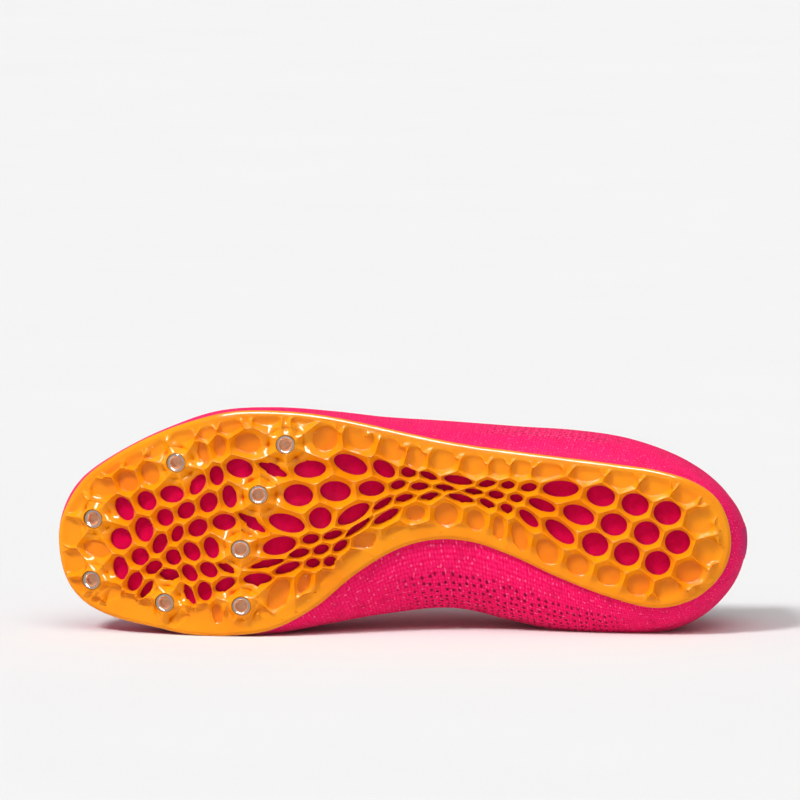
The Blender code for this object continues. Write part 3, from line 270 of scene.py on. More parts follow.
def lengths_down(grid: Array) -> Array:
    """Length down a line, or down the rows of a grid, at each of them: the running sum of the mean steps."""
    steps = np.linalg.norm(np.diff(grid, axis=0), axis=-1).reshape(len(grid) - 1, -1)
    return np.concatenate([[0.0], np.cumsum(steps.mean(axis=1))])


def surface_map(across: Array, down: Array) -> Array:
    """Map coordinates of a grid, from the lengths across its columns and down its rows."""
    return np.stack(np.broadcast_arrays(across[None, :], down[:, None]), axis=-1)


def cubic(start: Array, leave: Array, arrive: Array, end: Array, share: Array) -> Array:
    """Cubic curve between two ends: each of the four points weighed by powers of the share and of its rest.

    Args:
        start: where the curve starts.
        leave: the handle that it starts towards.
        arrive: the handle that it comes from at its end.
        end: where it ends.
        share: how far along it each point stands.

    Returns:
        The points.
    """
    share = share[..., None]
    rest = 1.0 - share
    near = rest**3 * start + 3 * rest**2 * share * leave
    return near + 3 * rest * share**2 * arrive + share**3 * end


def through(stations: Sequence[float], values: Array, at: Array) -> Array:
    """Smooth curve through stations: a cubic between each two, whose slopes weigh both neighbours' rises.

    Args:
        stations: rising places of the known values.
        values: one value or one row for each station.
        at: places to read.

    Returns:
        One value or one row for each place.
    """
    stations, values, at = np.asarray(stations, float), np.asarray(values, float), np.asarray(at, float)
    shape = (-1,) + (1,) * (values.ndim - 1)
    gaps = np.diff(stations)
    rises = np.diff(values, axis=0) / gaps.reshape(shape)
    before, after = gaps[:-1].reshape(shape), gaps[1:].reshape(shape)
    inner = (rises[:-1] * after + rises[1:] * before) / (before + after)
    slopes = np.concatenate([rises[:1], inner, rises[-1:]])
    piece = np.clip(np.searchsorted(stations, at, side="right") - 1, 0, len(gaps) - 1)
    spread = at.shape + (1,) * (values.ndim - 1)
    gap = gaps[piece].reshape(spread)
    share = (at - stations[piece]).reshape(spread) / gap
    start, end = values[piece], values[piece + 1]
    leave, arrive = slopes[piece] * gap, slopes[piece + 1] * gap
    cube = 2.0 * (start - end) + leave + arrive
    square = 3.0 * (end - start) - 2.0 * leave - arrive
    return ((cube * share + square) * share + leave) * share + start


def round_loop(stations: Array, values: Array, at: Array) -> Array:
    """Closed smooth curve: the values at both ends are repeated past them, so it meets itself smoothly.

    Args:
        stations: rising places of the known values.
        values: one row for each station.
        at: places to read.

    Returns:
        One row for each place.
    """
    stations = np.concatenate([stations[-3:] - LOOP_END, stations, stations[:4] + LOOP_END])
    return through(stations, np.concatenate([values[-3:], values, values[:4]]), np.mod(at, LOOP_END))


def loop_of(rows: Sequence[Sequence[float]], heel: Sequence[float], toe: Sequence[float], at: Array,
            more: tuple[float, ...] = ()) -> Array:
    """Outline loop from the heel, up the lateral side to the toe at place 1, and back down the medial side.

    A place follows the shape's own turn at both ends: it is the arc cosine of one less twice the share along.

    Args:
        rows: share along, medial reach, lateral reach and more columns.
        heel: share along and across at the heel.
        toe: share along and across at the toe.
        at: places to read.
        more: what the further column holds at the heel and the toe.

    Returns:
        Shares along and across, and the further column.
    """
    table = np.array(rows)
    around = np.arccos(1.0 - 2.0 * (table[:, 0] - heel[0]) / (toe[0] - heel[0])) / np.pi
    lateral = np.column_stack([table[:, 0], table[:, 2], table[:, 3:]])
    medial = np.column_stack([table[:, 0], -table[:, 1], table[:, 3:]])[::-1]
    stations = np.concatenate([[0.0], around, [1.0], LOOP_END - around[::-1]])
    values = np.concatenate([[[*heel, *more[:1]]], lateral, [[*toe, *more[1:]]], medial])
    return round_loop(stations, values, at)


def inset(loop: Array, distance: float) -> Array:
    """A closed flat loop moved inwards, square to the line between each point's neighbours.

    Args:
        loop: points of the loop.
        distance: how far to move.

    Returns:
        The moved points.
    """
    along = unit(np.roll(loop, -1, axis=0) - np.roll(loop, 1, axis=0))
    return loop + distance * np.stack([along[:, 1], -along[:, 0]], axis=-1)


def to_lengths(shares: Array) -> Array:
    """Shares along and across times the shoe's length and its ball width."""
    return shares * np.array([ShoeForm.length, ShoeForm.ball_width])


def from_percent(places: Sequence[Sequence[float]]) -> Array:
    """Percents along and across as lengths."""
    return to_lengths(np.array(places) / 100.0)


@dataclass
class ShoeForm:
    """The shoe's sizes and the surfaces that its pieces share."""

    length: float = 276 * MM
    ball_width: float = 92 * MM
    instep_height: float = 82 * MM
    toe_spring: float = 23 * MM
    bulge_height: float = 25 * MM
    web_depth: float = 4.0 * MM
    clearance: float = 0.3 * MM
    feather_inset: float = 2.0 * MM
    upper_wall: float = 1.6 * MM
    strip_half_width: float = 5.4 * MM
    lying_place: tuple[float, float, float] = (137.084 * MM, -40.678 * MM, 38.981 * MM)
    foot_handle: float = 0.55
    wall_handle: float = 0.66
    bulge_handle: float = 0.5
    edge_handle: float = 0.45
    outline_points: int = 420
    feather_points: int = 480

    def __post_init__(self) -> None:
        """Works out the plate's outline once."""
        self.outline = self.plate_loop(evenly(LOOP_END, self.outline_points))

    def lie(self, points: Array) -> Array:
        """Points of the shoe's frame turned onto its side.

        Args:
            points: points of the shoe's frame.

        Returns:
            Points whose X runs back from the toe, whose Y is the height and whose Z is the distance across.
        """
        x, y, z = np.moveaxis(points, -1, 0)
        ahead, below, beside = self.lying_place
        return np.stack([ahead - x, z + below, y + beside], axis=-1)

    def ground(self, x: Array) -> tuple[Array, Array]:
        """Height and slope angle of the ground line.

        Args:
            x: distances from the back of the heel.

        Returns:
            The heights, and the angles whose tangent is the rise over a short run.
        """
        table = np.array(GROUND)
        at = np.asarray(x, float) / self.length
        back, here, ahead = (
            through(table[:, 0], table[:, 1], at + step) for step in (-SHORT_STEP, 0.0, SHORT_STEP)
        )
        rise = (ahead - back) * self.toe_spring
        return here * self.toe_spring, np.arctan(rise / (2.0 * SHORT_STEP * self.length))

    def ground_normal(self, x: Array) -> Array:
        """Unit vectors square to the ground line, at distances from the back of the heel."""
        slope = self.ground(x)[1]
        return np.stack([-np.sin(slope), 0.0 * slope, np.cos(slope)], axis=-1)

    def above_ground(self, flat: Array, rise: Array) -> Array:
        """Points that stand off the ground line by a rise, square to its slope.

        Args:
            flat: distances along and across.
            rise: how far each point stands off.

        Returns:
            Points in the shoe's frame.
        """
        height, slope = self.ground(flat[..., 0])
        x = flat[..., 0] - rise * np.sin(slope)
        return np.stack([x, flat[..., 1] + 0.0 * x, height + rise * np.cos(slope)], axis=-1)

    def plate_loop(self, at: Array) -> Array:
        """The plate's outline at places round it, in lengths."""
        return to_lengths(loop_of(PLATE_OUTLINE, PLATE_HEEL, PLATE_TOE, at))

    def rim_place(self, points: Array) -> tuple[Array, Array]:
        """Distance to the plate's outline, and the place round it that lies nearest.

        Args:
            points: flat points inside the outline.

        Returns:
            The least distance to any piece of the outline, and the place where it is.
        """
        start = self.outline
        run = np.roll(start, -1, axis=0) - start
        from_start = points[..., None, :] - start
        share = np.clip((from_start * run).sum(-1) / (run * run).sum(-1), 0.0, 1.0)
        away = from_start - share[..., None] * run
        square = (away * away).sum(-1)
        nearest = square.argmin(-1)
        along = np.take_along_axis(share, nearest[..., None], axis=-1)[..., 0]
        distance = np.sqrt(np.take_along_axis(square, nearest[..., None], axis=-1)[..., 0])
        return distance, (nearest + along) * LOOP_END / len(start)

    def inside_outline(self, points: Array) -> Array:
        """Whether flat points are inside the plate: a ray from one crosses its edge an odd number of times.

        Args:
            points: flat points.

        Returns:
            True for each point inside.
        """
        start, end = self.outline, np.roll(self.outline, -1, axis=0)
        run = end - start
        climb = np.where(np.abs(run[:, 1]) > TINY, run[:, 1], TINY)
        x, y = points[..., None, 0], points[..., None, 1]
        spans = (start[:, 1] > y) != (end[:, 1] > y)
        crossing = start[:, 0] + (y - start[:, 1]) * run[:, 0] / climb
        return np.count_nonzero(spans & (x < crossing), axis=-1) % 2 == 1

    def feather_loop(self, at: Array, distance: float) -> Array:
        """The plate's outline moved in by a distance, at places round it."""
        fine = evenly(LOOP_END, self.feather_points)
        return round_loop(fine, inset(self.plate_loop(fine), distance), at)

    def widest_line(self, at: Array) -> Array:
        """The upper's widest line, at places round the shoe.

        Args:
            at: places round the shoe.

        Returns:
            Points in the shoe's frame.
        """
        wide = loop_of(BULGE_OUTLINE, BULGE_HEEL, BULGE_TOE, at, (BULGE_HEEL_HEIGHT, BULGE_TOE_HEIGHT))
        flat = to_lengths(wide[..., :2])
        height = self.ground(flat[..., 0])[0] + self.web_depth + wide[..., 2] * self.bulge_height
        return np.concatenate([flat, height[..., None]], axis=-1)

    def top_edge(self, at: Array) -> tuple[Array, Array]:
        """The upper's top edge, at places round the shoe.

        Args:
            at: places round the shoe.

        Returns:
            Points in the shoe's frame, and how upright the wall meets each of them.
        """
        rows = np.array(TOP_EDGE)
        lateral = rows[:, [1, 3, 4, 5]]
        medial = (rows[:, [1, 2, 4, 5]] * np.array([1.0, -1.0, 1.0, 1.0]))[-2:0:-1]
        stations = np.concatenate([rows[:, 0], LOOP_END - rows[-2:0:-1, 0]])
        edge = round_loop(stations, np.concatenate([lateral, medial]), at)
        return edge[..., :3] * np.array([self.length, self.ball_width, self.instep_height]), edge[..., 3:4]

    def upper_surface(self, at: Array, up: Array) -> Array:
        """Outer face of the upper.

        The wall is two cubic curves: from its lower edge, which it leaves flat, to its widest line at height
        1, which it passes upright, and on to its top edge at height 2.

        Args:
            at: places round the shoe, 0 to 2.
            up: heights up the wall, 0 to 2.

        Returns:
            Points in the shoe's frame.
        """
        at, up = np.broadcast_arrays(np.asarray(at, float), np.asarray(up, float))
        flat = self.feather_loop(at, self.feather_inset)
        lower = self.above_ground(flat, np.full(at.shape, self.web_depth + self.clearance))
        widest = self.widest_line(at)
        top, upright = self.top_edge(at)
        square = self.ground_normal(lower[..., 0])
        out = widest - lower
        climb = (out * square).sum(-1, keepdims=True) * square
        leave = lower + self.foot_handle * (out - climb)
        below = cubic(lower, leave, widest - self.wall_handle * climb, widest, np.clip(up, 0.0, 1.0))
        rise = top - widest
        level, tall = rise * np.array([1.0, 1.0, 0.0]), rise * np.array([0.0, 0.0, 1.0])
        arrive = top - self.edge_handle * (level + tall * upright)
        above = cubic(widest, widest + self.bulge_handle * tall, arrive, top, np.clip(up - 1.0, 0.0, 1.0))
        return np.where((up <= 1.0)[..., None], below, above)

    def upper_normals(self, at: Array, up: Array) -> Array:
        """Unit vectors out of the upper's outer face: the cross product of short steps up it and round it.

        Args:
            at: places round the shoe.
            up: heights up the wall.

        Returns:
            One vector for each point.
        """
        around = self.upper_surface(at + SHORT_STEP, up) - self.upper_surface(at - SHORT_STEP, up)
        low, high = np.clip(up - SHORT_STEP, 0.0, 2.0), np.clip(up + SHORT_STEP, 0.0, 2.0)
        return unit(np.cross(self.upper_surface(at, high) - self.upper_surface(at, low), around))

    def off_upper(self, at: Array, up: Array, distance: Array) -> Array:
        """Points off the upper's outer face along its normals, kept above the floor that it lies on.

        Args:
            at: places round the shoe.
            up: heights up the wall.
            distance: how far out of the shoe.

        Returns:
            Points in the shoe's frame.
        """
        at, up, distance = np.broadcast_arrays(*(np.asarray(value, float) for value in (at, up, distance)))
        points = self.upper_surface(at, up) + distance[..., None] * self.upper_normals(at, up)
        held = self.lying_place[2] + np.minimum(distance, 0.0)
        points[..., 1] = np.maximum(points[..., 1], -held)
        return points

    def flat_rim(self, distance: float, rise: float) -> Loop:
        """A loop over the ground line at a rise, inside the plate's outline by a distance."""
        return lambda at: self.above_ground(self.feather_loop(at, distance), np.full(len(at), rise))


@dataclass
class MeshMaker:
    """Collects grids of points in the shoe's frame and makes them one mesh object."""

    form: ShoeForm
    points: list[Array] = field(default_factory=list)
    quads: list[Array] = field(default_factory=list)
    maps: list[Array] = field(default_factory=list)
    slots: list[Array] = field(default_factory=list)
    marks: dict[str, list[Array]] = field(default_factory=dict)
    count: int = 0
    weld: float = 0.0002 * MM

    def add(self, grid: Array, closed: bool = False, flip: bool = False, slot: Array | int = 0,
            uv: Array | None = None, **marks: Array) -> None:
        """Adds one grid.

        Args:
            grid: rows and columns of points.
            closed: whether the last column meets the first.
            flip: whether the faces are turned round.
            slot: material slot, one for all faces or one for each row of them.
            uv: map coordinates, with one column more than the grid if it is closed.
            marks: further values for each point, by attribute name.
        """
        rows, columns = grid.shape[:2]
        numbers = np.arange(rows * columns).reshape(rows, columns)
        wide = columns + closed
        places = np.arange(rows * wide).reshape(rows, wide)
        if closed:
            numbers = np.concatenate([numbers, numbers[:, :1]], axis=1)

        def corners(table: Array) -> Array:
            """The four corners of each face of a table of numbers."""
            quads = np.stack([table[:-1, :-1], table[:-1, 1:], table[1:, 1:], table[1:, :-1]], axis=-1)
            return (quads[..., ::-1] if flip else quads).reshape(-1, 4)

        self.quads.append(corners(numbers) + self.count)
        uv = np.zeros((rows, wide, 2)) if uv is None else uv
        self.maps.append(uv.reshape(-1, 2)[corners(places)])
        self.slots.append(np.repeat(np.broadcast_to(slot, (rows - 1,)), wide - 1))
        for name, values in marks.items():
            self.marks.setdefault(name, []).append(values.reshape(-1))
        self.points.append(grid.reshape(-1, 3))
        self.count += rows * columns

    def make(self, name: str, *finishes: bpy.types.Material) -> bpy.types.Object:
        """Makes the object, lying, smooth, on the root body.

        Args:
            name: the object's name.
            finishes: its materials, one for each slot.

        Returns:
            The object.
        """
        mesh = bpy.data.meshes.new(name)
        points = self.form.lie(np.concatenate(self.points)).astype(np.float32)
        quads = np.concatenate(self.quads).astype(np.int32)
        mesh.vertices.add(len(points))
        mesh.vertices.foreach_set("co", points.ravel())
        mesh.loops.add(quads.size)
        mesh.loops.foreach_set("vertex_index", quads.ravel())
        mesh.polygons.add(len(quads))
        mesh.polygons.foreach_set("loop_start", np.arange(0, quads.size, 4, dtype=np.int32))
        mesh.polygons.foreach_set("material_index", np.concatenate(self.slots).astype(np.int32))
        mesh.polygons.foreach_set("use_smooth", np.ones(len(quads), bool))
        mapped = mesh.uv_layers.new(name="surface")
        mapped.data.foreach_set("uv", np.concatenate(self.maps).astype(np.float32).ravel())
        for mark, values in self.marks.items():
            made = mesh.attributes.new(mark, "FLOAT", "POINT")
            made.data.foreach_set("value", np.concatenate(values).astype(np.float32))
        mesh.update(calc_edges=True)
        welded = bmesh.new()
        welded.from_mesh(mesh)
        bmesh.ops.remove_doubles(welded, verts=welded.verts, dist=self.weld)
        bmesh.ops.dissolve_degenerate(welded, edges=welded.edges, dist=self.weld)
        welded.to_mesh(mesh)
        welded.free()
        mesh.update()
        for finish in finishes:
            mesh.materials.append(finish)
        obj = bpy.data.objects.new(name, mesh)
        bpy.context.scene.collection.objects.link(obj)
        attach(obj, "root")
        LOG.info("%s: %d faces", name, len(mesh.polygons))
        return obj


def slab(outer: Array, inner: Array) -> Array:
    """A closed sheet as one grid: each row runs across the outer face and back across the inner face.

    Args:
        outer: rows of points on one face.
        inner: rows of points on the other.

    Returns:
        The grid. Each end has one row more, drawn in to the middle of the sheet. An end whose row is its own
        mirror has none, because its two sides meet there and close it.
    """
    loop = np.concatenate([outer, inner[:, ::-1]], axis=1)
    middle = 0.5 * (outer + inner)
    folded = np.concatenate([middle, middle[:, ::-1]], axis=1)
    first, last = (int(not np.allclose(outer[end], outer[end, ::-1])) for end in (0, -1))
    return np.concatenate([folded[:first], loop, folded[len(folded) - last:]])


def refined(grid: Array, rows: int, columns: int) -> Array:
    """A coarse grid made fine with smooth curves both ways.

    Args:
        grid: rows and columns of points.
        rows: rows wanted.
        columns: columns wanted.

    Returns:
        The fine grid.
    """
    tall = through(np.arange(len(grid)), grid, np.linspace(0, len(grid) - 1, rows))
    wide = through(np.arange(grid.shape[1]), tall.swapaxes(0, 1), np.linspace(0, grid.shape[1] - 1, columns))
    return wide.swapaxes(0, 1)


def tube(line: Array, radius: float, sides: int, closed: bool = False) -> Array:
    """A round cord along a line: rings round two vectors square to the line, times the radius.

    Args:
        line: points of the centre line.
        radius: radius of the cord.
        sides: points round it.
        closed: whether the line meets its start, in which case its last ring repeats the first.

    Returns:
        Rows of rings, drawn to a point at both ends of an open line.
    """
    ahead = np.gradient(line, axis=0)
    if closed:
        ahead = np.roll(line, -1, axis=0) - np.roll(line, 1, axis=0)
    ahead = unit(ahead)
    first = unit(np.cross(ahead, np.array(ASIDE)))
    second = np.cross(ahead, first)
    rings = line[:, None] + radius * ring_of(first[:, None], second[:, None], sides)
    if closed:
        return np.concatenate([rings, rings[:1]])
    ends = np.repeat(line[[0, -1], None], sides, axis=1)
    return np.concatenate([ends[:1], rings, ends[1:]])


class Cell(Enum):
    """The kinds of cell in the plate's web."""

    OPEN = 0
    PIT = 1
    BAY = 2
    FORK = 3
    SOCKET = 4


@dataclass
class WebPlate:
    """The moulded plate: a web of sharp crests round holes, pits and sockets, inside a smooth rolled rim.

    Depths are measured out from the inner face. Over a cell the depth runs from the cell's edge depth at its
    ellipse to the crest's depth where the next cell is as near.
    """

    form: ShoeForm
    rim_depth: float = 2.1 * MM
    hole_lip: float = 1.2 * MM
    pit_lip: float = 1.75 * MM
    bay_dip: float = 0.95 * MM
    pit_floor: float = 0.9 * MM
    boss_depth: float = 4.6 * MM
    boss_sag: float = 3.4 * MM
    sag_run: float = 5.0 * MM
    crest_round: float = 0.09 * MM
    least_web: float = 1.1 * MM
    rim_limit: float = 1.7 * MM
    fade_before: float = 1.2 * MM
    fade_run: float = 3.2 * MM
    socket_reach: float = 3.85 * MM
    fork_size: tuple[float, float] = (1.5 * MM, 0.85 * MM)
    fork_margin: float = 0.6 * MM
    fork_dip: float = 0.25 * MM
    bay_bowl: float = 0.12 * MM
    lip_run: float = 0.12 * MM
    overlap: float = 0.15 * MM
    crest_power: float = 1.25
    farthest: float = 0.2
    halvings: int = 14
    spokes: int = 48
    star_spokes: int = 144
    rim_points: int = 840

    def __post_init__(self) -> None:
        """Sets out the cells and how far their rays reach."""
        rows = self.cell_rows()
        numbers = np.array([row[1:] for row in rows], float)
        self.kinds = np.array([row[0].value for row in rows])
        self.centres = from_percent(numbers[:, :2])
        self.halves = numbers[:, 2:4] / 100.0 * self.form.ball_width
        self.turns = np.radians(numbers[:, 4])
        self.own, self.rays, self.reach = {}, {}, {}
        star = self.kinds == Cell.SOCKET.value
        self.cast_rays(np.flatnonzero(~star), self.spokes)
        self.cast_rays(np.flatnonzero(star), self.star_spokes)

    def cell_rows(self) -> list[tuple]:
        """All cells of the web, from the tables and from the ridges' ends that lie clear of the rim.

        Returns:
            Kind, percent along and across, half length and half width in percent of the ball width, and turn.
        """
        form = self.form
        self.tip_inside, self.tip_place = form.rim_place(from_percent(FORK_TIPS))
        ahead = form.plate_loop(self.tip_place + SHORT_STEP) - form.plate_loop(self.tip_place - SHORT_STEP)
        turns = np.degrees(np.arctan2(ahead[:, 0], -ahead[:, 1]))
        long, wide = (100.0 * size / form.ball_width for size in self.fork_size)
        round_size = 100.0 * self.socket_reach / form.ball_width
        rows = [(Cell.OPEN, *row) for row in OPEN_HEEL + OPEN_WAIST + OPEN_BALL + OPEN_TOE]
        rows += [(Cell.PIT, *row) for row in PITS]
        rows += [(Cell.BAY, *row) for row in BAYS]
        rows += [
            (Cell.FORK, *tip, long, wide, turn)
            for tip, turn, inside in zip(FORK_TIPS, turns, self.tip_inside)
            if inside > self.rim_limit + self.fork_margin
        ]
        return rows + [(Cell.SOCKET, *place, round_size, round_size, 0.0) for place in SOCKETS]

    def cast_rays(self, cells: Array, spokes: int) -> None:
        """Keeps each cell's radii, rays and reach, by the cell's number.

        Args:
            cells: the cells' numbers.
            spokes: rays round each of them.
        """
        turn = evenly(FULL_TURN, spokes)
        long, wide = self.halves[cells, :1] * np.cos(turn), self.halves[cells, 1:] * np.sin(turn)
        cos, sin = np.cos(self.turns[cells])[:, None], np.sin(self.turns[cells])[:, None]
        edges = np.stack([long * cos - wide * sin, long * sin + wide * cos], axis=-1)
        rays = unit(edges)
        for cell, edge, spread, reach in zip(cells, edges, rays, self.borders(cells, rays)):
            self.own[cell], self.rays[cell], self.reach[cell] = np.linalg.norm(edge, axis=-1), spread, reach

    def past_cells(self, points: Array) -> Array:
        """Distance past every cell's ellipse: the distance from its centre times one less one over the level.

        Args:
            points: flat points.

        Returns:
            One distance for each point and cell.
        """
        away = points[..., None, :] - self.centres
        cos, sin = np.cos(self.turns), np.sin(self.turns)
        long = (away[..., 0] * cos + away[..., 1] * sin) / self.halves[:, 0]
        wide = (away[..., 1] * cos - away[..., 0] * sin) / self.halves[:, 1]
        level = np.maximum(np.hypot(long, wide), TINY)
        return np.hypot(away[..., 0], away[..., 1]) * (1.0 - 1.0 / level)

    def borders(self, cells: Array, rays: Array) -> Array:
        """How far cells reach along their rays, halved down to where another cell or the rim is as near.

        Args:
            cells: the cells' numbers.
            rays: unit vectors out of each cell's centre.

        Returns:
            One distance for each ray.
        """
        low, high = np.zeros(rays.shape[:2]), np.full(rays.shape[:2], self.farthest * self.form.ball_width)
        row = np.arange(len(cells))
        for _ in range(self.halvings):
            middle = 0.5 * (low + high)
            points = self.centres[cells][:, None, :] + middle[..., None] * rays
            past = self.past_cells(points)
            mine = past[row, :, cells].copy()
            past[row, :, cells] = np.inf
            inside, _ = self.form.rim_place(points)
            outside = (past.min(-1) < mine) | (inside < self.rim_limit) | ~self.form.inside_outline(points)
            low, high = np.where(outside, low, middle), np.where(outside, middle, high)
        return low

    def fade(self, points: Array) -> Array:
        """How fully the crests stand, from 0 on the smooth rim to 1 inside the ridges' forked ends.

        Args:
            points: flat points.

        Returns:
            One share for each point.
        """
        inside, place = self.form.rim_place(points)
        order = np.argsort(self.tip_place)
        tip = np.interp(place, self.tip_place[order], self.tip_inside[order], period=LOOP_END)
        return smooth_step((inside - tip + self.fade_before) / self.fade_run)

    def depth(self, points: Array) -> Array:
        """Depth of the plate at flat points.

        Args:
            points: flat points on the web.

        Returns:
            The edge depth of the nearest cell, raised to the crest by the share of the way there.
        """
        past = self.past_cells(points)
        order = np.argsort(past, axis=-1)[..., :3]
        first, second, third = np.moveaxis(np.maximum(np.take_along_axis(past, order, axis=-1), 0.0), -1, 0)
        fade = self.fade(points)
        crest = self.rim_depth + (self.form.web_depth - self.rim_depth) * fade
        kind, beside = self.kinds[order[..., 0]], self.kinds[order[..., 1]]
        star = (kind == Cell.SOCKET.value) | (beside == Cell.SOCKET.value)
        sag = self.boss_sag * fade * np.clip((third - second) / self.sag_run, 0.0, 1.0)
        crest -= np.where(star, sag, 0.0)
        edges = np.array([self.hole_lip, self.pit_lip, self.rim_depth, self.rim_depth, self.boss_depth])
        edge = edges[kind] - np.where(kind == Cell.BAY.value, self.bay_dip * fade, 0.0)
        half, away = np.maximum(0.5 * (first + second), TINY), 0.5 * (second - first)
        soft = np.sqrt(away * away + self.crest_round**2) - self.crest_round
        climb = np.clip(1.0 - soft / half, 0.0, 1.0)
        climb = np.where(kind == Cell.SOCKET.value, climb, climb**self.crest_power)
        return edge + (crest - edge) * climb

    def surface(self, flat: Array, depth: Array) -> Array:
        """Points of the plate over flat points, at depths out from its inner face."""
        return self.form.above_ground(flat, self.form.web_depth - depth)

    def add_cell(self, maker: MeshMaker, cell: int) -> None:
        """Adds one cell as a closed ring, or a closed disc, that reaches a little under its neighbours.

        Args:
            maker: where the grid goes.
            cell: the cell's number.
        """
        kind = Cell(self.kinds[cell])
        reach, centre, rays = self.reach[cell], self.centres[cell], self.rays[cell]
        rim = np.maximum(np.minimum(self.own[cell], reach - 0.5 * self.least_web), 0.5 * reach)
        if kind is Cell.SOCKET:
            rim = np.full(len(reach), self.socket_reach)
        radii = [rim + share * (reach - rim) for share in FLANK]
        depths = [self.depth(centre + radius[:, None] * rays) for radius in radii]
        lip, none = depths[0], 0.0 * reach
        under = reach + self.overlap
        outside = [(under, depths[-1] - 0.22 * MM), (under, none + 0.05 * MM), (rim, none)]
        closed_by = [(none, none)]
        if kind in (Cell.OPEN, Cell.SOCKET):
            inside = [(rim, none), (rim, lip - 0.35 * MM), (rim + 0.04 * MM, lip - 0.1 * MM)]
            radii[0] = radii[0] + np.minimum(self.lip_run, 0.1 * (reach - rim))
            outside = outside[:2]
            closed_by = [(rim, none)]
        elif kind is Cell.PIT:
            floor = np.full(len(reach), self.pit_floor)
            inside = [(share * rim, floor + rise * MM) for share, rise in PIT_FLOOR]
            inside.append((0.985 * rim, lip - self.lip_run))
        else:
            bowl = self.fade(centre) * (self.fork_dip if kind is Cell.FORK else self.bay_bowl)
            floors = [self.depth(centre + share * rim[:, None] * rays) for share in DISC]
            inside = [(share * rim, floor - bowl * (1.0 - share**2)) for share, floor in zip(DISC, floors)]
        rings = inside + list(zip(radii, depths)) + outside + closed_by
        grid = np.stack([self.surface(centre + radius[:, None] * rays, depth) for radius, depth in rings])
        # Painted shade: how far each ring lies below the crests reddens the orange down hole walls and in
        # pits, partly for thin plastic and partly for shade there; bays, forks and pits are capped so they
        # darken less
        low = 1.0 - np.stack([depth for _, depth in rings]) / self.form.web_depth
        low = np.minimum(low, {Cell.BAY: 0.56, Cell.FORK: 0.5, Cell.PIT: 0.68}.get(kind, 1.0))
        maker.add(grid, closed=True, low=low)

    def add_rim(self, maker: MeshMaker) -> None:
        """Adds the rolled rim, a closed strip whose outer edge is a half round between the plate's two faces.

        Args:
            maker: where the grid goes.
        """
        fine = self.form.plate_loop(evenly(LOOP_END, self.rim_points))
        rows = []
        for away, depth in RIM_ROLL:
            rows.append(self.surface(inset(fine, away * MM), np.full(len(fine), depth * MM)))
        for away, drop in RIM_BACKING:
            flat = inset(fine, self.rim_limit + away * MM)
            rows.append(self.surface(flat, self.depth(flat) - drop * MM))
        under = self.pit_floor - self.overlap
        rows.append(self.surface(inset(fine, 3.6 * MM), np.full(len(fine), under)))
        rows.append(rows[0])
        # The rim sits too high for the painted shade of the hollows to darken it
        low = np.full((len(rows), len(fine)), 1.0 - self.rim_depth / self.form.web_depth)
        maker.add(np.stack(rows), closed=True, low=low)

    def build(self, plastic: bpy.types.Material) -> list[bpy.types.Object]:
        """Makes the plate's two pieces.

        Args:
            plastic: the plate's finish.

        Returns:
            The web of holes, and the pits with the rim.
        """
        made = []
        cut = np.isin(self.kinds, (Cell.OPEN.value, Cell.SOCKET.value))
        for name, cells in (("plate_web", np.flatnonzero(cut)), ("plate_rim", np.flatnonzero(~cut))):
            maker = MeshMaker(self.form)
            for cell in cells:
                self.add_cell(maker, cell)
            if name == "plate_rim":
                self.add_rim(maker)
            piece = maker.make(name, plastic)
            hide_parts("spike_plate")
            made.append(piece)
        return made


@dataclass
class SteelSockets:
    """The steel receptacles, turned round the depth axis of the plate, with a thread inside."""

    form: ShoeForm
    radius: float = 3.7 * MM
    bore: float = 2.5 * MM
    proud: float = 0.25 * MM
    foot: float = 4.5 * MM
    thread_from: float = 2.9 * MM
    thread_pitch: float = 0.55 * MM
    thread_relief: float = 0.3 * MM
    thread_edges: int = 9
    bore_from: float = 0.3 * MM
    sides: int = 56

    def profile(self) -> Array:
        """The turned shape: over the bore's floor, up its thread, over the ring and down round the foot.

        Returns:
            Radius and height of each ring.
        """
        thread = np.arange(self.thread_edges)
        inner = self.bore - np.where(thread % 2 == 0, 0.0, self.thread_relief)
        heights = 0.5 * self.thread_pitch * thread - self.thread_from
        floor = [(0.0, -3.3 * MM), (0.9 * MM, -3.25 * MM), (1.7 * MM, -3.1 * MM)]
        mouth = [(0.02, -0.5), (0.12, -0.12), (0.4, 0.16)]
        rows = floor + list(zip(inner, heights))
        rows += [(self.bore + past * MM, height * MM) for past, height in mouth]
        rows += [(self.bore + 0.55 * MM, self.proud), (self.radius - 0.45 * MM, self.proud + 0.03 * MM)]
        rows += [(self.radius - 0.15 * MM, self.proud - 0.06 * MM), (self.radius, self.proud - 0.3 * MM)]
        rows += [(self.radius, self.proud - self.foot), (0.0, self.proud - self.foot)]
        return np.array(rows)

    def build(self, steel: bpy.types.Material, reflection_tinted_bore_steel: bpy.types.Material) -> list[bpy.types.Object]:
        """Makes one piece for each socket.

        Args:
            steel: the ring's finish.
            reflection_tinted_bore_steel: the bore's finish.

        Returns:
            The pieces.
        """
        made = []
        rows = self.profile()
        in_bore = (rows[:-1, 1] < -self.bore_from) & (rows[:-1, 0] < 0.9 * self.radius)
        for number, centre in enumerate(from_percent(SOCKETS), 1):
            out = -self.form.ground_normal(centre[0])
            along = np.array([-out[2], 0.0, out[0]])
            base = self.form.above_ground(centre, np.array(0.0))
            ring = ring_of(along, np.array([0.0, 1.0, 0.0]), self.sides)
            maker = MeshMaker(self.form)
            maker.add(base + rows[:, :1, None] * ring + rows[:, 1:, None] * out, closed=True, slot=in_bore)
            piece = maker.make(f"steel_socket_{number}", steel, reflection_tinted_bore_steel)
            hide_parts(f"spike_socket_{number}")
            made.append(piece)
        return made


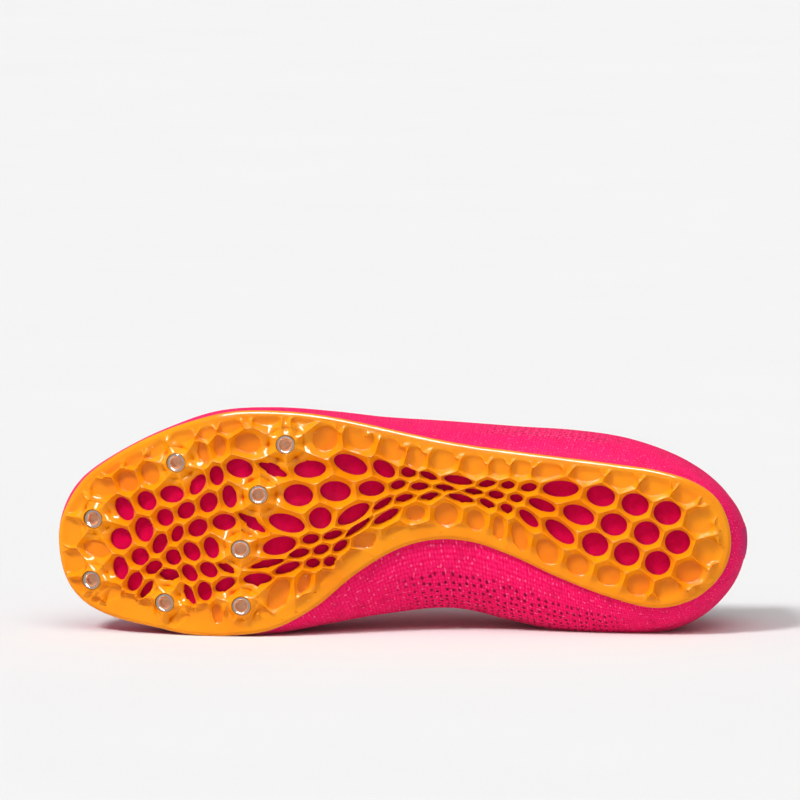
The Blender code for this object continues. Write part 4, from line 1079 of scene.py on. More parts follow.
@dataclass
class KnitUpper:
    """The knitted upper: one wall with an outer face, a rolled top edge and a lining face."""

    form: ShoeForm
    places: int = 520
    levels: int = 100
    lining_levels: int = 44
    lip_bends: int = 9
    strip_step: float = 0.35 * MM
    strip_from: float = 0.30
    strip_fade: float = 0.25
    strip_edge: float = 0.004
    rib_step: float = 0.3 * MM
    rib_width: float = 0.0032
    eyestay_step: float = 0.6 * MM
    eyestay_from: float = 1.72
    eyestay_start: float = 0.44
    eyestay_edge: float = 0.022
    edge_run: float = 0.02
    seam_sink: float = 0.25 * MM
    seam_below: float = 0.012
    seam_width: float = 0.007
    collar_sink: float = 0.3 * MM
    collar_line: float = 1.86
    collar_width: float = 0.012
    collar_end: float = 0.42
    girth_share: float = 0.33
    wall_height: float = 36 * MM

    def strip_place(self) -> float:
        """The place where the heel strip ends, where the widest line is half its width off the middle.

        Returns:
            The place.
        """
        fine = np.linspace(0.0, 0.3, 301)
        across = self.form.upper_surface(fine, np.full(fine.shape, 1.0))[:, 1]
        return float(np.interp(self.form.strip_half_width, across - across[0], fine))

    def trough(self, at: Array, up: Array) -> Array:
        """Depth of the creases: each is a bell curve across the line between its ends, and fades at both.

        Args:
            at: places round the shoe.
            up: heights up the wall.

        Returns:
            How far the face sinks, in lengths.
        """
        sunk = np.zeros(at.shape)
        size = np.array([self.girth_share * self.form.length, self.wall_height])
        for start_at, start_up, end_at, end_up, width, depth in CREASES:
            run = np.array([end_at - start_at, end_up - start_up]) * size
            away = np.stack([at - start_at, up - start_up], axis=-1) * size
            share = np.clip((away * run).sum(-1) / (run * run).sum(), 0.0, 1.0)
            off = np.linalg.norm(away - share[..., None] * run, axis=-1) / (0.5 * width * MM)
            sunk += depth * MM * bell(off) * (0.35 + 0.65 * np.sin(np.pi * share))
        return sunk

    def relief(self, at: Array, up: Array) -> tuple[Array, Array]:
        """Height of the strip, its ribs and the eyestay over the outer face, less its seams and creases.

        Args:
            at: places round the shoe.
            up: heights up the wall.

        Returns:
            The heights, and how fully the heel strip covers each point.
        """
        from_heel = np.minimum(at, LOOP_END - at)
        strip = self.strip_place()
        risen = smooth_step((up - self.strip_from) / self.strip_fade)
        on_strip = smooth_step((strip - from_heel) / self.strip_edge + 0.5) * risen
        rib = bell((from_heel - strip - self.strip_edge) / self.rib_width) * risen
        past_start = smooth_step((from_heel - self.eyestay_start) / self.edge_run)
        stay = smooth_step((up - self.eyestay_from) / self.eyestay_edge) * past_start
        seam = bell((up - self.eyestay_from + self.seam_below) / self.seam_width) * past_start
        at_collar = smooth_step((self.collar_end - from_heel) / self.edge_run)
        collar = bell((up - self.collar_line) / self.collar_width) * at_collar
        proud = self.strip_step * on_strip + self.rib_step * rib + self.eyestay_step * stay
        sunk = self.trough(at, up) + self.seam_sink * seam + self.collar_sink * collar
        return proud - sunk, on_strip

    def rolled_edge(self, outer: Array, inner: Array) -> Array:
        """Rows of the top edge: a half round from the outer face's last row to the inner face's first.

        Args:
            outer: rows of the outer face.
            inner: rows of the inner face.

        Returns:
            The rows between them.
        """
        top = unit(outer[-1] - outer[-2])
        middle, half = 0.5 * (outer[-1] + inner[0]), 0.5 * (outer[-1] - inner[0])
        bend = np.linspace(0.0, np.pi, self.lip_bends)[1:-1, None, None]
        reach = np.linalg.norm(half, axis=-1)[:, None]
        return middle + np.cos(bend) * half + np.sin(bend) * reach * top

    def build(self, knit: bpy.types.Material, lining: bpy.types.Material) -> bpy.types.Object:
        """Makes the upper as one closed grid: up the outer face, over the rolled edge and down the lining.

        Args:
            knit: the outer face's finish.
            lining: the inner face's finish.

        Returns:
            The upper.
        """
        form, around = self.form, evenly(LOOP_END, self.places)
        up, at = np.meshgrid(np.linspace(0.0, 2.0, self.levels), around, indexing="ij")
        height, on_strip = self.relief(at, up)
        outer = form.off_upper(at, up, height)
        inner_up, inner_at = np.meshgrid(np.linspace(2.0, 0.0, self.lining_levels), around, indexing="ij")
        inner = form.off_upper(inner_at, inner_up, -form.upper_wall)
        grid = np.concatenate([outer, self.rolled_edge(outer, inner), inner, outer[:1]])
        girth = lengths_down(grid[self.levels // 2])[-1]
        uv = surface_map(np.linspace(0.0, girth, self.places + 1), lengths_down(grid))
        medial = self.zone(at, up, (1.48, 1.75), (0.24, 1.15))
        lateral = self.zone(at, up, (0.26, 0.45), (0.55, 1.35))

        def marked(values: Array) -> Array:
            """The values of the outer face, and 0 on the rest of the grid."""
            return np.concatenate([values, np.zeros((len(grid) - len(values), self.places))])

        lined = np.arange(len(grid) - 1) >= self.levels + self.lip_bends // 2 + 1
        maker = MeshMaker(form)
        marks = {"strip": on_strip, "lateral": lateral, "perforated": np.maximum(medial, 0.7 * lateral)}
        marks = {name: marked(values) for name, values in marks.items()}
        maker.add(grid, closed=True, flip=True, slot=lined, uv=uv, **marks)
        piece = maker.make("knit_upper", knit, lining)
        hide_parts("upper")
        return piece

    @staticmethod
    def zone(at: Array, up: Array, along: tuple[float, float], tall: tuple[float, float]) -> Array:
        """A patch of the outer face.

        Args:
            at: places round the shoe.
            up: heights up the wall.
            along: the places between which it lies.
            tall: the heights between which it lies.

        Returns:
            1 inside the patch, with a soft edge that falls to 0 outside it.
        """
        beside = smooth_step((at - along[0]) / 0.05) * smooth_step((along[1] - at) / 0.05)
        return beside * smooth_step((up - tall[0]) / 0.12) * smooth_step((tall[1] - up) / 0.2)


@dataclass
class InnerParts:
    """The board under the foot, the insole and the tongue, each a closed sheet."""

    form: ShoeForm
    board_thickness: float = 1.0 * MM
    board_rows: int = 160
    board_columns: int = 24
    insole_thickness: float = 3.2 * MM
    insole_lean: float = 0.45
    insole_from: float = 0.3
    insole_flat: float = 2.2
    insole_rows: int = 150
    insole_columns: int = 14
    tongue_thickness: float = 2.6 * MM
    tongue_reach: float = 0.80
    tongue_rise: float = 20 * MM
    tongue_crown: float = 1.2 * MM
    tongue_rows: int = 110
    tongue_columns: int = 61
    tongue_places: tuple[float, ...] = (0.50, 0.56, 0.62, 0.69, 0.76, 0.83, 0.90, 0.95, 1.0)
    tongue_top: tuple[tuple[float, float], ...] = ((1.0, 0.66), (0.85, 0.78), (0.5, 0.9))

    @staticmethod
    def rungs(at: Array, loops: Sequence[Loop]) -> Array:
        """Rows across the shoe: points of the loops, outermost first, and of their mirrors on the other side.

        Args:
            at: places up the lateral side.
            loops: the loops, outermost first.

        Returns:
            One row for each place.
        """
        lateral = [loop(at) for loop in loops]
        medial = [loop(LOOP_END - at) for loop in reversed(loops)]
        return np.stack(lateral + medial, axis=1)

    def sheet(self, name: str, outer: Array, inner: Array, finish: bpy.types.Material,
              flip: bool = True) -> bpy.types.Object:
        """A closed sheet between two grids, mapped by its lengths across and along.

        Args:
            name: the piece's name.
            outer: points of one face.
            inner: points of the other.
            finish: its material.
            flip: whether its faces are turned round.

        Returns:
            The piece.
        """
        grid = slab(outer, inner)
        girth = grid[len(grid) // 2]
        uv = surface_map(lengths_down(np.concatenate([girth, girth[:1]])), lengths_down(grid))
        maker = MeshMaker(self.form)
        maker.add(grid, closed=True, flip=flip, uv=uv)
        return maker.make(name, finish)

    def board(self, felt: bpy.types.Material) -> bpy.types.Object:
        """Makes the sheet that closes the upper underneath and shows through the plate's holes.

        Args:
            felt: its finish.

        Returns:
            The board.
        """
        form = self.form
        at = np.linspace(0.0, 1.0, self.board_rows)
        base = form.web_depth + form.clearance
        away = form.feather_inset + form.clearance
        faces = [
            refined(self.rungs(at, [form.flat_rim(away, rise)]), self.board_rows, self.board_columns)
            for rise in (base, base + self.board_thickness)
        ]
        piece = self.sheet("board_sheet", *faces, felt)
        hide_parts("strobel_board")
        return piece

    def insole(self, cloth: bpy.types.Material) -> bpy.types.Object:
        """Makes the insole: flat over the board, and turned up where it lies on the upper's wall.

        Args:
            cloth: its finish.

        Returns:
            The insole.
        """
        form = self.form
        at = np.linspace(0.0, 1.0, self.insole_rows)
        seat = form.web_depth + 2.0 * form.clearance + form.upper_wall
        inside = form.feather_inset + self.insole_flat * form.upper_wall

        def edge(thick: float) -> Loop:
            """The insole's outer line.

            Args:
                thick: the thickness at which it lies.

            Returns:
                The line.
            """

            def loop(at: Array) -> Array:
                """Points of the line, which lean in over the thickness.

                Args:
                    at: places up the side.

                Returns:
                    The points.
                """
                line = form.off_upper(at, self.insole_from, -form.upper_wall - form.clearance)
                up = form.ground_normal(line[:, 0])
                line[:, :2] += self.insole_lean * thick * unit(form.feather_loop(at, inside) - line[:, :2])
                return line + thick * up

            return loop

        def halfway(first: Loop, second: Loop) -> Loop:
            """The line midway between two."""
            return lambda at: 0.5 * (first(at) + second(at))

        faces = []
        for thick in (0.0, self.insole_thickness):
            line, flat = edge(thick), form.flat_rim(inside, seat + thick)
            face = self.rungs(at, [line, halfway(line, flat), flat])
            middle = refined(face[:, 2:4], self.insole_rows, self.insole_columns)[:, 1:-1]
            faces.append(np.concatenate([face[:, :3], middle, face[:, 3:]], axis=1))
        piece = self.sheet("insole_pad", *faces, cloth)
        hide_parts("insole")
        return piece

    def tongue(self, knit: bpy.types.Material) -> bpy.types.Object:
        """Makes the tongue, under both sides of the throat, with a rounded top that stands up past the edge.

        Args:
            knit: its finish.

        Returns:
            The tongue.
        """
        faces = []
        for more in (0.0, self.tongue_thickness):
            lines = np.array([self.tongue_line(place, more) for place in self.tongue_places])
            rise = unit(lines[0] - lines[1])
            tops = []
            for share, narrow in self.tongue_top:
                top = lines[0] + share * self.tongue_rise * rise[3]
                top[:, 1] = top[3, 1] + narrow * (top[:, 1] - top[3, 1])
                tops.append(top)
            lines = np.concatenate([np.array(tops), lines])
            faces.append(refined(lines, self.tongue_rows, self.tongue_columns))
        piece = self.sheet("tongue_pad", *faces, knit, flip=False)
        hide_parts("tongue")
        return piece

    def tongue_line(self, place: float, more: float) -> Array:
        """One line of the tongue, from under one side of the throat over its crown to the other side.

        Args:
            place: place round the lateral side.
            more: how far it lies under the tongue's outer face.

        Returns:
            Seven points.
        """
        form = self.form
        sides = np.array([place] * 3 + [LOOP_END - place] * 3)
        levels = 1.0 + np.array([self.tongue_reach, 0.9, 1.0, 1.0, 0.9, self.tongue_reach])
        points = form.off_upper(sides, levels, -(form.upper_wall + 2.0 * form.clearance + more))
        crown = self.tongue_crown * min(1.0, (1.0 - place) * 8)
        middle = 0.5 * (points[2] + points[3]) + np.array([0.0, 0.0, crown])
        return np.insert(points, 3, middle, axis=0)


@dataclass
class Lacing:
    """The lace through its punched eyelets: a bar at the front, then pairs of crossing runs up the throat."""

    form: ShoeForm
    radius: float = 1.3 * MM
    eyelet_height: float = 1.86
    eyelet_radius: float = 2.1 * MM
    lift: float = 2.3 * MM
    sink: float = 1.1 * MM
    out_of_eyelet: float = 1.2 * MM
    near_edge: float = 1.95
    under_run: float = -0.9
    rows: tuple[float, ...] = (0.90, 0.77, 0.69, 0.61, 0.53)
    cord_sides: int = 16
    cord_points: int = 60
    ring_proud: float = 0.62 * MM
    ring_radius: float = 0.42 * MM
    ring_points: int = 28
    ring_sides: int = 10

    def point(self, place: float, up: float, lateral: bool, lift: float) -> Array:
        """A point off the upper at a place of either side."""
        at = place if lateral else LOOP_END - place
        return self.form.off_upper(np.array([at]), np.array([up]), np.array([lift]))[0]

    def run(self, low: float, high: float, from_lateral: bool, over: float) -> Array:
        """Centre line of one run: up out of an eyelet, over the throat's edges and down into the next eyelet.

        Args:
            low: place of the row where it starts.
            high: place of the row where it ends.
            from_lateral: whether it starts on the lateral side.
            over: how much the middle stands above a straight run.

        Returns:
            Points of the line.
        """
        other = not from_lateral
        step = 0.2 * (high - low)
        raised = self.lift + 0.3 * over
        line = np.array([
            self.point(low, self.eyelet_height, from_lateral, -self.sink),
            self.point(low, self.eyelet_height + 0.005, from_lateral, self.out_of_eyelet),
            self.point(low + step, self.near_edge, from_lateral, self.lift),
            self.point(low + 1.4 * step, 2.0, from_lateral, raised),
            self.point(high - 1.4 * step, 2.0, other, raised),
            self.point(high - step, self.near_edge, other, self.lift),
            self.point(high, self.eyelet_height + 0.005, other, self.out_of_eyelet),
            self.point(high, self.eyelet_height, other, -self.sink),
        ])
        middle = 0.5 * (line[3] + line[4]) + np.array([0.0, 0.0, over])
        line = np.insert(line, 4, middle, axis=0)
        length = lengths_down(line)
        return through(length, line, np.linspace(0.0, length[-1], self.cord_points))

    def cord(self, name: str, lines: Sequence[Array], finish: bpy.types.Material,
             *nodes: str) -> bpy.types.Object:
        """One piece of lace from one or more runs, mapped round and along.

        Args:
            name: the piece's name.
            lines: centre lines.
            finish: its material.
            nodes: the nodes that it stands for.

        Returns:
            The piece.
        """
        maker = MeshMaker(self.form)
        for line in lines:
            grid = tube(line, self.radius, self.cord_sides)
            around = np.linspace(0.0, FULL_TURN * self.radius, self.cord_sides + 1)
            maker.add(grid, closed=True, uv=surface_map(around, lengths_down(grid)))
        piece = maker.make(name, finish)
        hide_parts(*nodes)
        return piece

    def eyelets(self, finish: bpy.types.Material, shade: bpy.types.Material) -> list[bpy.types.Object]:
        """The stitched ring of each eyelet and a near-black disc inside it, painted shade for the hole.

        Args:
            finish: the rings' finish.
            shade: the holes' finish.

        Returns:
            The rings and the holes.
        """
        rings, holes = MeshMaker(self.form), MeshMaker(self.form)
        radii = np.array([0.0, 0.9, 0.98, 0.0])[:, None, None] * self.eyelet_radius
        heights = np.array([0.12, 0.10, -0.2, -0.2])[:, None, None] * MM
        up = np.array([self.eyelet_height])
        for place in self.rows:
            for at in (np.array([place]), np.array([LOOP_END - place])):
                normal = self.form.upper_normals(at, up)[0]
                centre = self.form.off_upper(at, up, self.ring_proud)[0]
                first = unit(np.cross(normal, np.array([0.0, 0.0, 1.0])))
                circle = ring_of(first, np.cross(normal, first), self.ring_points)
                line = centre + self.eyelet_radius * circle
                rings.add(tube(line, self.ring_radius, self.ring_sides, closed=True), closed=True)
                # Painted shade: a near-black disc inside the ring stands for the dark inside the eyelet
                holes.add(centre + radii * circle + heights * normal, closed=True, flip=True)
        made = [rings.make("eyelet_rings", finish), holes.make("eyelet_hole_shade", shade)]
        return made

    def build(self, finish: bpy.types.Material, shade: bpy.types.Material) -> list[bpy.types.Object]:
        """Makes the bar, the crossings and the eyelets.

        Args:
            finish: the lace's finish.
            shade: the holes' finish.

        Returns:
            The pieces.
        """
        first = self.rows[0]
        made = [self.cord("front_bar", [self.run(first, first, True, 0.0)], finish, "lace_bar")]
        for number, (low, high) in enumerate(zip(self.rows, self.rows[1:]), 1):
            over, under = self.radius, self.under_run * self.radius
            lines = [self.run(low, high, True, over), self.run(low, high, False, under)]
            made.append(self.cord(f"crossing_{number}", lines, finish, f"lace_crossing_{number}"))
        return made + self.eyelets(finish, shade)


class Space(Enum):
    """Where a pattern's coordinates come from: the model's own space, or the map of the surface."""

    MODEL = "Object"
    SURFACE = "UV"


@dataclass
class NodeSheet:
    """A material under construction, with short calls that add and join its nodes."""

    name: str

    def __post_init__(self) -> None:
        """Makes the material with its shader."""
        self.material = bpy.data.materials.new(self.name)
        self.material.use_nodes = True
        self.tree = self.material.node_tree
        self.shader = self.tree.nodes["Principled BSDF"]

    def add(self, kind: str, inputs: dict | None = None, **settings: object) -> bpy.types.Node:
        """Adds a node.

        Args:
            kind: the node's type without its common start.
            inputs: a value, or a socket to join, for each input by name or number.
            settings: the node's own settings.

        Returns:
            The node.
        """
        node = self.tree.nodes.new("ShaderNode" + kind)
        for key, value in settings.items():
            setattr(node, key, value)
        for key, value in (inputs or {}).items():
            self.put(node.inputs[key], value)
        return node

    def put(self, socket: bpy.types.NodeSocket, value: object) -> None:
        """Joins a socket to another, or sets its value.

        Args:
            socket: the socket.
            value: the other socket, or the value.
        """
        if isinstance(value, bpy.types.NodeSocket):
            self.tree.links.new(value, socket)
        else:
            socket.default_value = value

    def math(self, operation: str, first: object, second: object = 0.0,
             third: object = 0.0) -> bpy.types.NodeSocket:
        """A sum, product or other operation on two or three values."""
        inputs = {0: first, 1: second, 2: third}
        return self.add("Math", inputs, operation=operation).outputs[0]

    def mix(self, share: object, first: object, second: object) -> bpy.types.NodeSocket:
        """A colour between two.

        Args:
            share: how far it stands towards the second.
            first: one colour.
            second: the other.

        Returns:
            The colour.
        """
        node = self.add("Mix", data_type="RGBA")
        for number, value in ((0, share), (6, first), (7, second)):
            self.put(node.inputs[number], value)
        return node.outputs[2]

    def ramp(self, value: object, low: float, high: float, top: float = 1.0) -> bpy.types.NodeSocket:
        """A smooth rise from 0 to a top value between two values."""
        inputs = {"Value": value, "From Min": low, "From Max": high, "To Max": top}
        return self.add("MapRange", inputs, interpolation_type="SMOOTHSTEP").outputs[0]

    def place(self, space: Space, across: float = 1.0, down: float = 1.0) -> bpy.types.NodeSocket:
        """Coordinates in a space, scaled.

        Args:
            space: where they come from.
            across: scale of the first.
            down: scale of the second.

        Returns:
            The socket that gives them.
        """
        kind = "UVMap" if space is Space.SURFACE else "TexCoord"
        settings = {"uv_map": "surface"} if space is Space.SURFACE else {}
        start = self.add(kind, **settings).outputs[space.value]
        return self.add("Mapping", {"Vector": start, "Scale": (across, down, 1.0)}).outputs[0]

    def noise(self, vector: object, scale: float, detail: float = 2.0,
              rough: float = 0.5) -> bpy.types.NodeSocket:
        """Fractal noise."""
        inputs = {"Vector": vector, "Scale": scale, "Detail": detail, "Roughness": rough}
        return self.add("TexNoise", inputs).outputs[0]

    def cells(self, vector: object, jitter: float) -> bpy.types.NodeSocket:
        """Distance to the middle of the nearest cell of a flat pattern."""
        inputs = {"Vector": vector, "Scale": 1.0, "Randomness": jitter}
        return self.add("TexVoronoi", inputs, voronoi_dimensions="2D").outputs["Distance"]

    def mark(self, name: str) -> bpy.types.NodeSocket:
        """A value that the mesh holds for each point."""
        return self.add("Attribute", attribute_name=name).outputs["Fac"]

    def bump(self, height: object, distance: float, strength: float,
             under: object = None) -> bpy.types.NodeSocket:
        """A bump, over another one where that is given.

        Args:
            height: how high each point stands, as a share.
            distance: what the full height is, in metres.
            strength: how much of it shows.
            under: the bump that lies under it.

        Returns:
            The bumped normal.
        """
        inputs = {"Height": height, "Distance": distance, "Strength": strength}
        if under is not None:
            inputs["Normal"] = under
        return self.add("Bump", inputs).outputs[0]

    def finish(self, **sockets: object) -> bpy.types.Material:
        """Sets or joins the shader's sockets.

        Args:
            sockets: what each holds, by its name with a low line for each space.

        Returns:
            The material.
        """
        for name, value in sockets.items():
            self.put(self.shader.inputs[name.replace("_", " ")], value)
        return self.material


@dataclass(frozen=True)
class MouldedPlastic:
    """Glossy orange plastic with a moulded skin, faint flow marks, a few specks of dust, and a red orange
    down its holes and pits that is partly thin plastic and partly painted shade.
    """

    name: str = "moulded_orange"
    bright: Colour = (0.96, 0.325, 0.004, 1.0)
    deep: Colour = (0.95, 0.27, 0.002, 1.0)
    thin_and_shaded: Colour = (0.80, 0.085, 0.001, 1.0)
    dust: Colour = (1.0, 0.62, 0.30, 1.0)
    gloss: float = 0.06
    speck_scale: float = 260.0
    skin_scale: float = 420.0
    skin_relief: float = 0.04 * MM

    def make(self) -> bpy.types.Material:
        """Makes the material: the colour deepens to a red orange where the plate is thin, down its hole walls
        and in its pits, partly for the thin plastic and partly as painted shade in those hollows, and specks
        of dust are matt.

        Returns:
            The material.
        """
        sheet = NodeSheet(self.name)
        at = sheet.place(Space.MODEL)
        flow = sheet.ramp(sheet.noise(at, 28.0, 3.0), 0.35, 0.7)
        colour = sheet.mix(flow, self.bright, self.deep)
        # Painted shade: the further a point lies below the crests, the more the orange turns red, partly for
        # thin plastic and partly for shade in the hollows
        colour = sheet.mix(sheet.ramp(sheet.mark("low"), 0.50, 0.98), colour, self.thin_and_shaded)
        dots = sheet.add("TexVoronoi", {"Vector": at, "Scale": self.speck_scale, "Randomness": 1.0})
        patchy = sheet.ramp(sheet.noise(at, 45.0, 2.0), 0.52, 0.66)
        speck = sheet.math("MULTIPLY", sheet.ramp(dots.outputs["Distance"], 0.11, 0.05), patchy)
        colour = sheet.mix(sheet.math("MULTIPLY", speck, 0.55), colour, self.dust)
        rough = sheet.math("MULTIPLY_ADD", sheet.noise(at, 160.0, 3.0), 0.08, self.gloss)
        rough = sheet.math("MULTIPLY_ADD", speck, 0.4, rough)
        skin = sheet.bump(sheet.noise(at, self.skin_scale, 2.0), self.skin_relief, 0.5)
        return sheet.finish(
            Base_Color=colour, Roughness=rough, Normal=skin, IOR=1.5, Specular_IOR_Level=0.36,
            Coat_Weight=0.2, Coat_Roughness=0.05,
        )


@dataclass(frozen=True)
class FleckedHighlightKnit:
    """Hot pink knit: small loops of bright and dark yarn, pale flecks that are partly paler yarn and partly
    painted highlights on the loops, pinholes painted near black as shade, and a smooth strip up the heel.
    """

    name: str = "flecked_highlight_knit"
    base: Colour = (0.90, 0.0, 0.098, 1.0)
    deep: Colour = (0.62, 0.0, 0.060, 1.0)
    bright: Colour = (0.98, 0.012, 0.16, 1.0)
    fleck_and_highlight: Colour = (1.0, 0.24, 0.44, 1.0)
    strip: Colour = (0.72, 0.02, 0.17, 1.0)
    pinhole_shade: Colour = (0.16, 0.0, 0.02, 1.0)
    loop_pitch: tuple[float, float] = (0.95 * MM, 0.72 * MM)
    hole_pitch: tuple[float, float] = (2.3 * MM, 1.84 * MM)
    loop_relief: float = 0.30 * MM
    fuzz_relief: float = 0.10 * MM

    def make(self) -> bpy.types.Material:
        """Makes the material: loops and flecks, with their painted highlights, first, then the pinholes with
        their painted shade and the strip over them.

        Returns:
            The material.
        """
        sheet = NodeSheet(self.name)
        across, down = self.loop_pitch
        loop = sheet.cells(sheet.place(Space.SURFACE, 1.0 / across, 1.0 / down), 0.35)
        yarn = sheet.noise(sheet.place(Space.SURFACE, 1100.0, 1200.0), 1.0, 1.0)
        tone = sheet.noise(sheet.place(Space.SURFACE, 160.0, 260.0), 1.0, 3.0)
        smooth = sheet.mark("strip")
        colour = sheet.mix(sheet.ramp(loop, 0.25, 0.62), self.bright, self.base)
        colour = sheet.mix(sheet.ramp(tone, 0.5, 0.78, 0.55), colour, self.deep)
        # Painted highlight: where the fine yarn noise runs high, more so on the lateral band, the knit turns
        # pale pink, partly for paler yarn and partly for glints on the loops
        lit = sheet.math("SUBTRACT", yarn, sheet.math("MULTIPLY", loop, 0.22))
        lit = sheet.math("MULTIPLY_ADD", sheet.mark("lateral"), 0.07, lit)
        colour = sheet.mix(sheet.ramp(lit, 0.53, 0.66, 0.5), colour, self.fleck_and_highlight)
        colour = sheet.mix(sheet.ramp(loop, 0.62, 0.8, 0.6), colour, self.deep)
        # Painted shade: in the perforated zones the pinholes are painted near black for the shade inside them
        across, down = self.hole_pitch
        dot = sheet.cells(sheet.place(Space.SURFACE, 1.0 / across, 1.0 / down), 0.42)
        holes = sheet.math("MULTIPLY", sheet.ramp(dot, 0.25, 0.17), sheet.mark("perforated"))
        colour = sheet.mix(sheet.math("MULTIPLY", holes, 0.85), colour, self.pinhole_shade)
        colour = sheet.mix(smooth, colour, self.strip)
        rough = sheet.math("MULTIPLY_ADD", smooth, -0.8, 1.0)
        raised = sheet.math("MULTIPLY", sheet.math("SUBTRACT", 1.0, loop), rough)
        raised = sheet.math("MULTIPLY_ADD", holes, -0.8, raised)
        woven = sheet.bump(raised, self.loop_relief, 0.75)
        fuzz = sheet.bump(yarn, self.fuzz_relief, 0.35, woven)
        return sheet.finish(Base_Color=colour, Roughness=0.62, Normal=fuzz, Specular_IOR_Level=0.1)


@dataclass(frozen=True)
class PlainCloth:
    """A plain woven or brushed cloth, by its two colours, the pitch of its yarns and how deep they stand."""

    name: str
    base: Colour
    deep: Colour
    pitch: tuple[float, float]
    relief: float = 0.18 * MM
    roughness: float = 0.85
    fuzz_scale: float = 2600.0
    fuzz_relief: float = 0.08 * MM

    def make(self) -> bpy.types.Material:
        """Makes the material: yarns with darker gaps, over a patchy tone.

        Returns:
            The material.
        """
        sheet = NodeSheet(self.name)
        across, down = self.pitch
        yarns = sheet.cells(sheet.place(Space.SURFACE, 1.0 / across, 1.0 / down), 0.4)
        tone = sheet.noise(sheet.place(Space.SURFACE, 220.0, 220.0), 1.0, 4.0, 0.6)
        colour = sheet.mix(sheet.ramp(tone, 0.35, 0.75), self.base, self.deep)
        colour = sheet.mix(sheet.ramp(yarns, 0.4, 0.75, 0.6), colour, self.deep)
        raised = sheet.bump(sheet.math("SUBTRACT", 1.0, yarns), self.relief, 0.7)
        fluff = sheet.noise(sheet.place(Space.SURFACE), self.fuzz_scale, 2.0)
        fuzz = sheet.bump(fluff, self.fuzz_relief, 0.5, raised)
        return sheet.finish(Base_Color=colour, Roughness=self.roughness, Normal=fuzz, Specular_IOR_Level=0.1)


@dataclass(frozen=True)
class TurnedSteel:
    """Bright turned steel with fine marks round it. Where it is given an orange colour, as in the bore, that
    colour is a painted reflection of the plastic at its back.
    """

    name: str
    colour: Colour
    roughness: float
    relief: float
    metallic: float = 1.0

    def make(self) -> bpy.types.Material:
        """Makes the material.

        Returns:
            The material.
        """
        sheet = NodeSheet(self.name)
        at = sheet.place(Space.MODEL)
        rough = sheet.math("MULTIPLY_ADD", sheet.noise(at, 900.0, 3.0), 0.12, self.roughness)
        fine = sheet.bump(sheet.noise(at, 520.0, 2.0), self.relief, 0.6)
        return sheet.finish(Base_Color=self.colour, Metallic=self.metallic, Roughness=rough, Normal=fine)


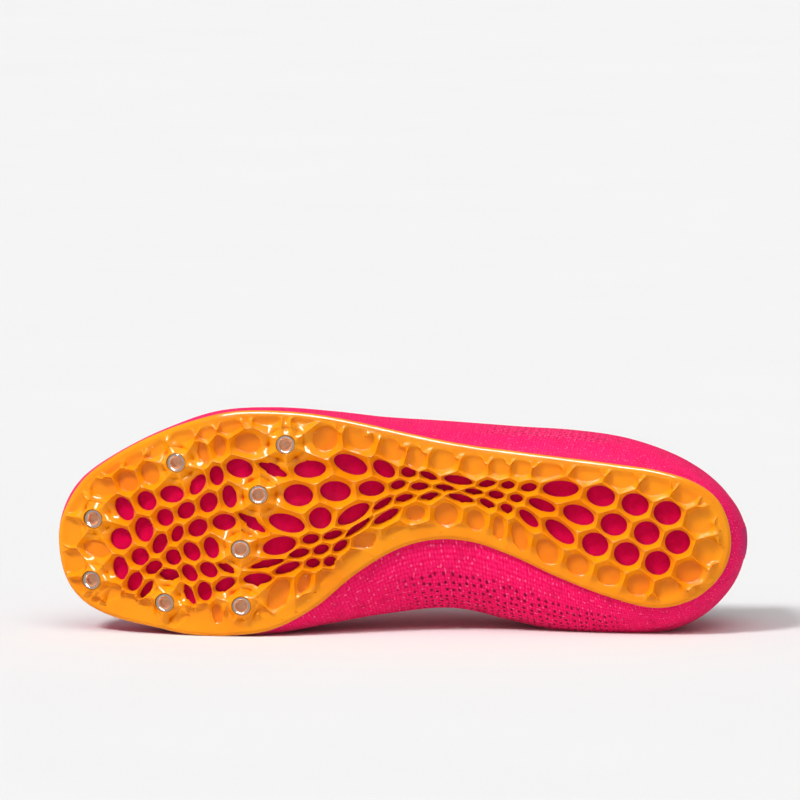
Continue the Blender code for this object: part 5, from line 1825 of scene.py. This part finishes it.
@dataclass
class Studio:
    """The pale floor, the soft lights and the camera at the picture's angle."""

    elevation: float = 6.6
    distance: float = 4.0
    lens: float = 453.0
    sensor: float = 36.0
    target: tuple[float, float, float] = (-0.9 * MM, -40.7 * MM, 95.4 * MM)
    floor_side: float = 30.0
    floor_tones: tuple[Colour, Colour] = ((0.79, 0.79, 0.79, 1.0), (0.77, 0.77, 0.77, 1.0))
    suns: tuple[tuple, ...] = (
        ("broad_top", 50.0, 1.10, (-0.10, 0.45, -1.0)),
        ("key", 14.0, 2.30, (0.55, 0.50, -0.85)),
    )
    strip_place: tuple[float, float, float] = (0.0, -0.30, 0.52)
    strip_aim: tuple[float, float, float] = (0.0, -0.03, 0.05)
    strip_size: tuple[float, float] = (0.60, 0.06)
    strip_power: float = 5.6
    surround: float = 0.30

    def floor(self) -> None:
        """A wide pale floor, which no gloss mirrors."""
        mesh = bpy.data.meshes.new("floor")
        side = self.floor_side
        corners = [(-side, -side, 0.0), (side, -side, 0.0), (side, side, 0.0), (-side, side, 0.0)]
        mesh.from_pydata(corners, [], [(0, 1, 2, 3)])
        sheet = NodeSheet("pale_floor")
        colour = sheet.mix(sheet.noise(sheet.place(Space.MODEL), 9.0, 2.0), *self.floor_tones)
        mesh.materials.append(sheet.finish(Base_Color=colour, Roughness=0.8, Specular_IOR_Level=0.0))
        floor = bpy.data.objects.new("floor", mesh)
        floor.visible_glossy = False
        bpy.context.scene.collection.objects.link(floor)

    def hang(self, light: bpy.types.Light, way: Vector, place: tuple = (0.0, 0.0, 0.0)) -> bpy.types.Object:
        """Puts a light into the scene.

        Args:
            light: the light.
            way: the direction that it shines in.
            place: where it hangs.

        Returns:
            Its object.
        """
        lamp = bpy.data.objects.new(light.name, light)
        lamp.location = place
        lamp.rotation_euler = way.to_track_quat("-Z", "Y").to_euler()
        bpy.context.scene.collection.objects.link(lamp)
        return lamp

    def lights(self) -> None:
        """Two soft suns, a strip that gives glints alone, and an even pale surround.

        The suns' columns are name, width in degrees, strength and the direction that each shines in.
        """
        for name, wide, strength, way in self.suns:
            sun = bpy.data.lights.new(name, "SUN")
            sun.angle, sun.energy = math.radians(wide), strength
            self.hang(sun, Vector(way)).visible_glossy = False
        strip = bpy.data.lights.new("top_strip", "AREA")
        strip.shape = "RECTANGLE"
        strip.size, strip.size_y = self.strip_size
        strip.energy = self.strip_power
        way = Vector(self.strip_aim) - Vector(self.strip_place)
        self.hang(strip, way, self.strip_place).visible_diffuse = False
        world = bpy.data.worlds.new("surround")
        world.use_nodes = True
        background = world.node_tree.nodes["Background"]
        background.inputs["Color"].default_value = (1.0, 1.0, 1.0, 1.0)
        background.inputs["Strength"].default_value = self.surround
        bpy.context.scene.world = world
        bpy.context.scene.view_settings.view_transform = "Standard"

    def camera(self) -> None:
        """A long lens that looks at the sole, a little from above."""
        data = bpy.data.cameras.new("camera")
        data.lens, data.sensor_width = self.lens, self.sensor
        data.clip_end = 100.0
        eye = bpy.data.objects.new("camera", data)
        rise = math.radians(self.elevation)
        ahead = Vector((0.0, math.cos(rise), -math.sin(rise)))
        eye.location = Vector(self.target) - self.distance * ahead
        eye.rotation_euler = ahead.to_track_quat("-Z", "Y").to_euler()
        bpy.context.scene.collection.objects.link(eye)
        bpy.context.scene.camera = eye

    def build(self) -> None:
        """Sets out the floor, the lights and the camera."""
        self.floor()
        self.lights()
        self.camera()


def main() -> None:
    """Builds every sub-assembly of the shoe, then the studio round it."""
    logging.basicConfig(level=logging.INFO, format="%(name)s: %(message)s")
    form = ShoeForm()
    knit = FleckedHighlightKnit().make()
    hot, deep, bright = (0.88, 0.0, 0.09, 1.0), (0.72, 0.0, 0.066, 1.0), (0.95, 0.02, 0.15, 1.0)
    rose, wine = (0.70, 0.0, 0.075, 1.0), (0.45, 0.0, 0.04, 1.0)
    cerise, berry = (0.72, 0.0, 0.075, 1.0), (0.58, 0.0, 0.055, 1.0)
    dark, darker = (0.10, 0.0, 0.01, 1.0), (0.05, 0.0, 0.005, 1.0)
    lining = PlainCloth("lining_cloth", rose, wine, (0.8 * MM, 0.8 * MM)).make()
    felt = PlainCloth("board_felt", cerise, berry, (0.6 * MM, 0.6 * MM), 0.10 * MM).make()
    brushed = PlainCloth("insole_cloth", hot, deep, (0.7 * MM, 0.7 * MM), 0.12 * MM).make()
    padded = PlainCloth("tongue_knit", hot, deep, (1.1 * MM, 0.8 * MM), 0.25 * MM, 0.7).make()
    braid = PlainCloth("lace_braid", bright, deep, (0.9 * MM, 1.3 * MM), 0.3 * MM, 0.6).make()
    shade = PlainCloth("eyelet_shade", dark, darker, (1.0 * MM, 1.0 * MM)).make()
    steel = TurnedSteel("turned_steel", (0.97, 0.96, 0.94, 1.0), 0.10, 0.04 * MM).make()
    # Painted reflection: the bore's copper orange stands for the orange plastic that it mirrors
    bore = TurnedSteel("reflection_tinted_bore_steel", (1.0, 0.60, 0.38, 1.0), 0.10, 1.2 * MM, 0.45).make()
    pieces = WebPlate(form).build(MouldedPlastic().make())
    pieces += SteelSockets(form).build(steel, bore)
    pieces.append(KnitUpper(form).build(knit, lining))
    inner = InnerParts(form)
    pieces += [inner.board(felt), inner.insole(brushed), inner.tongue(padded)]
    pieces += Lacing(form).build(braid, shade)
    LOG.info("%d pieces in all", len(pieces))
    Studio().build()


if __name__ == "__main__":
    main()
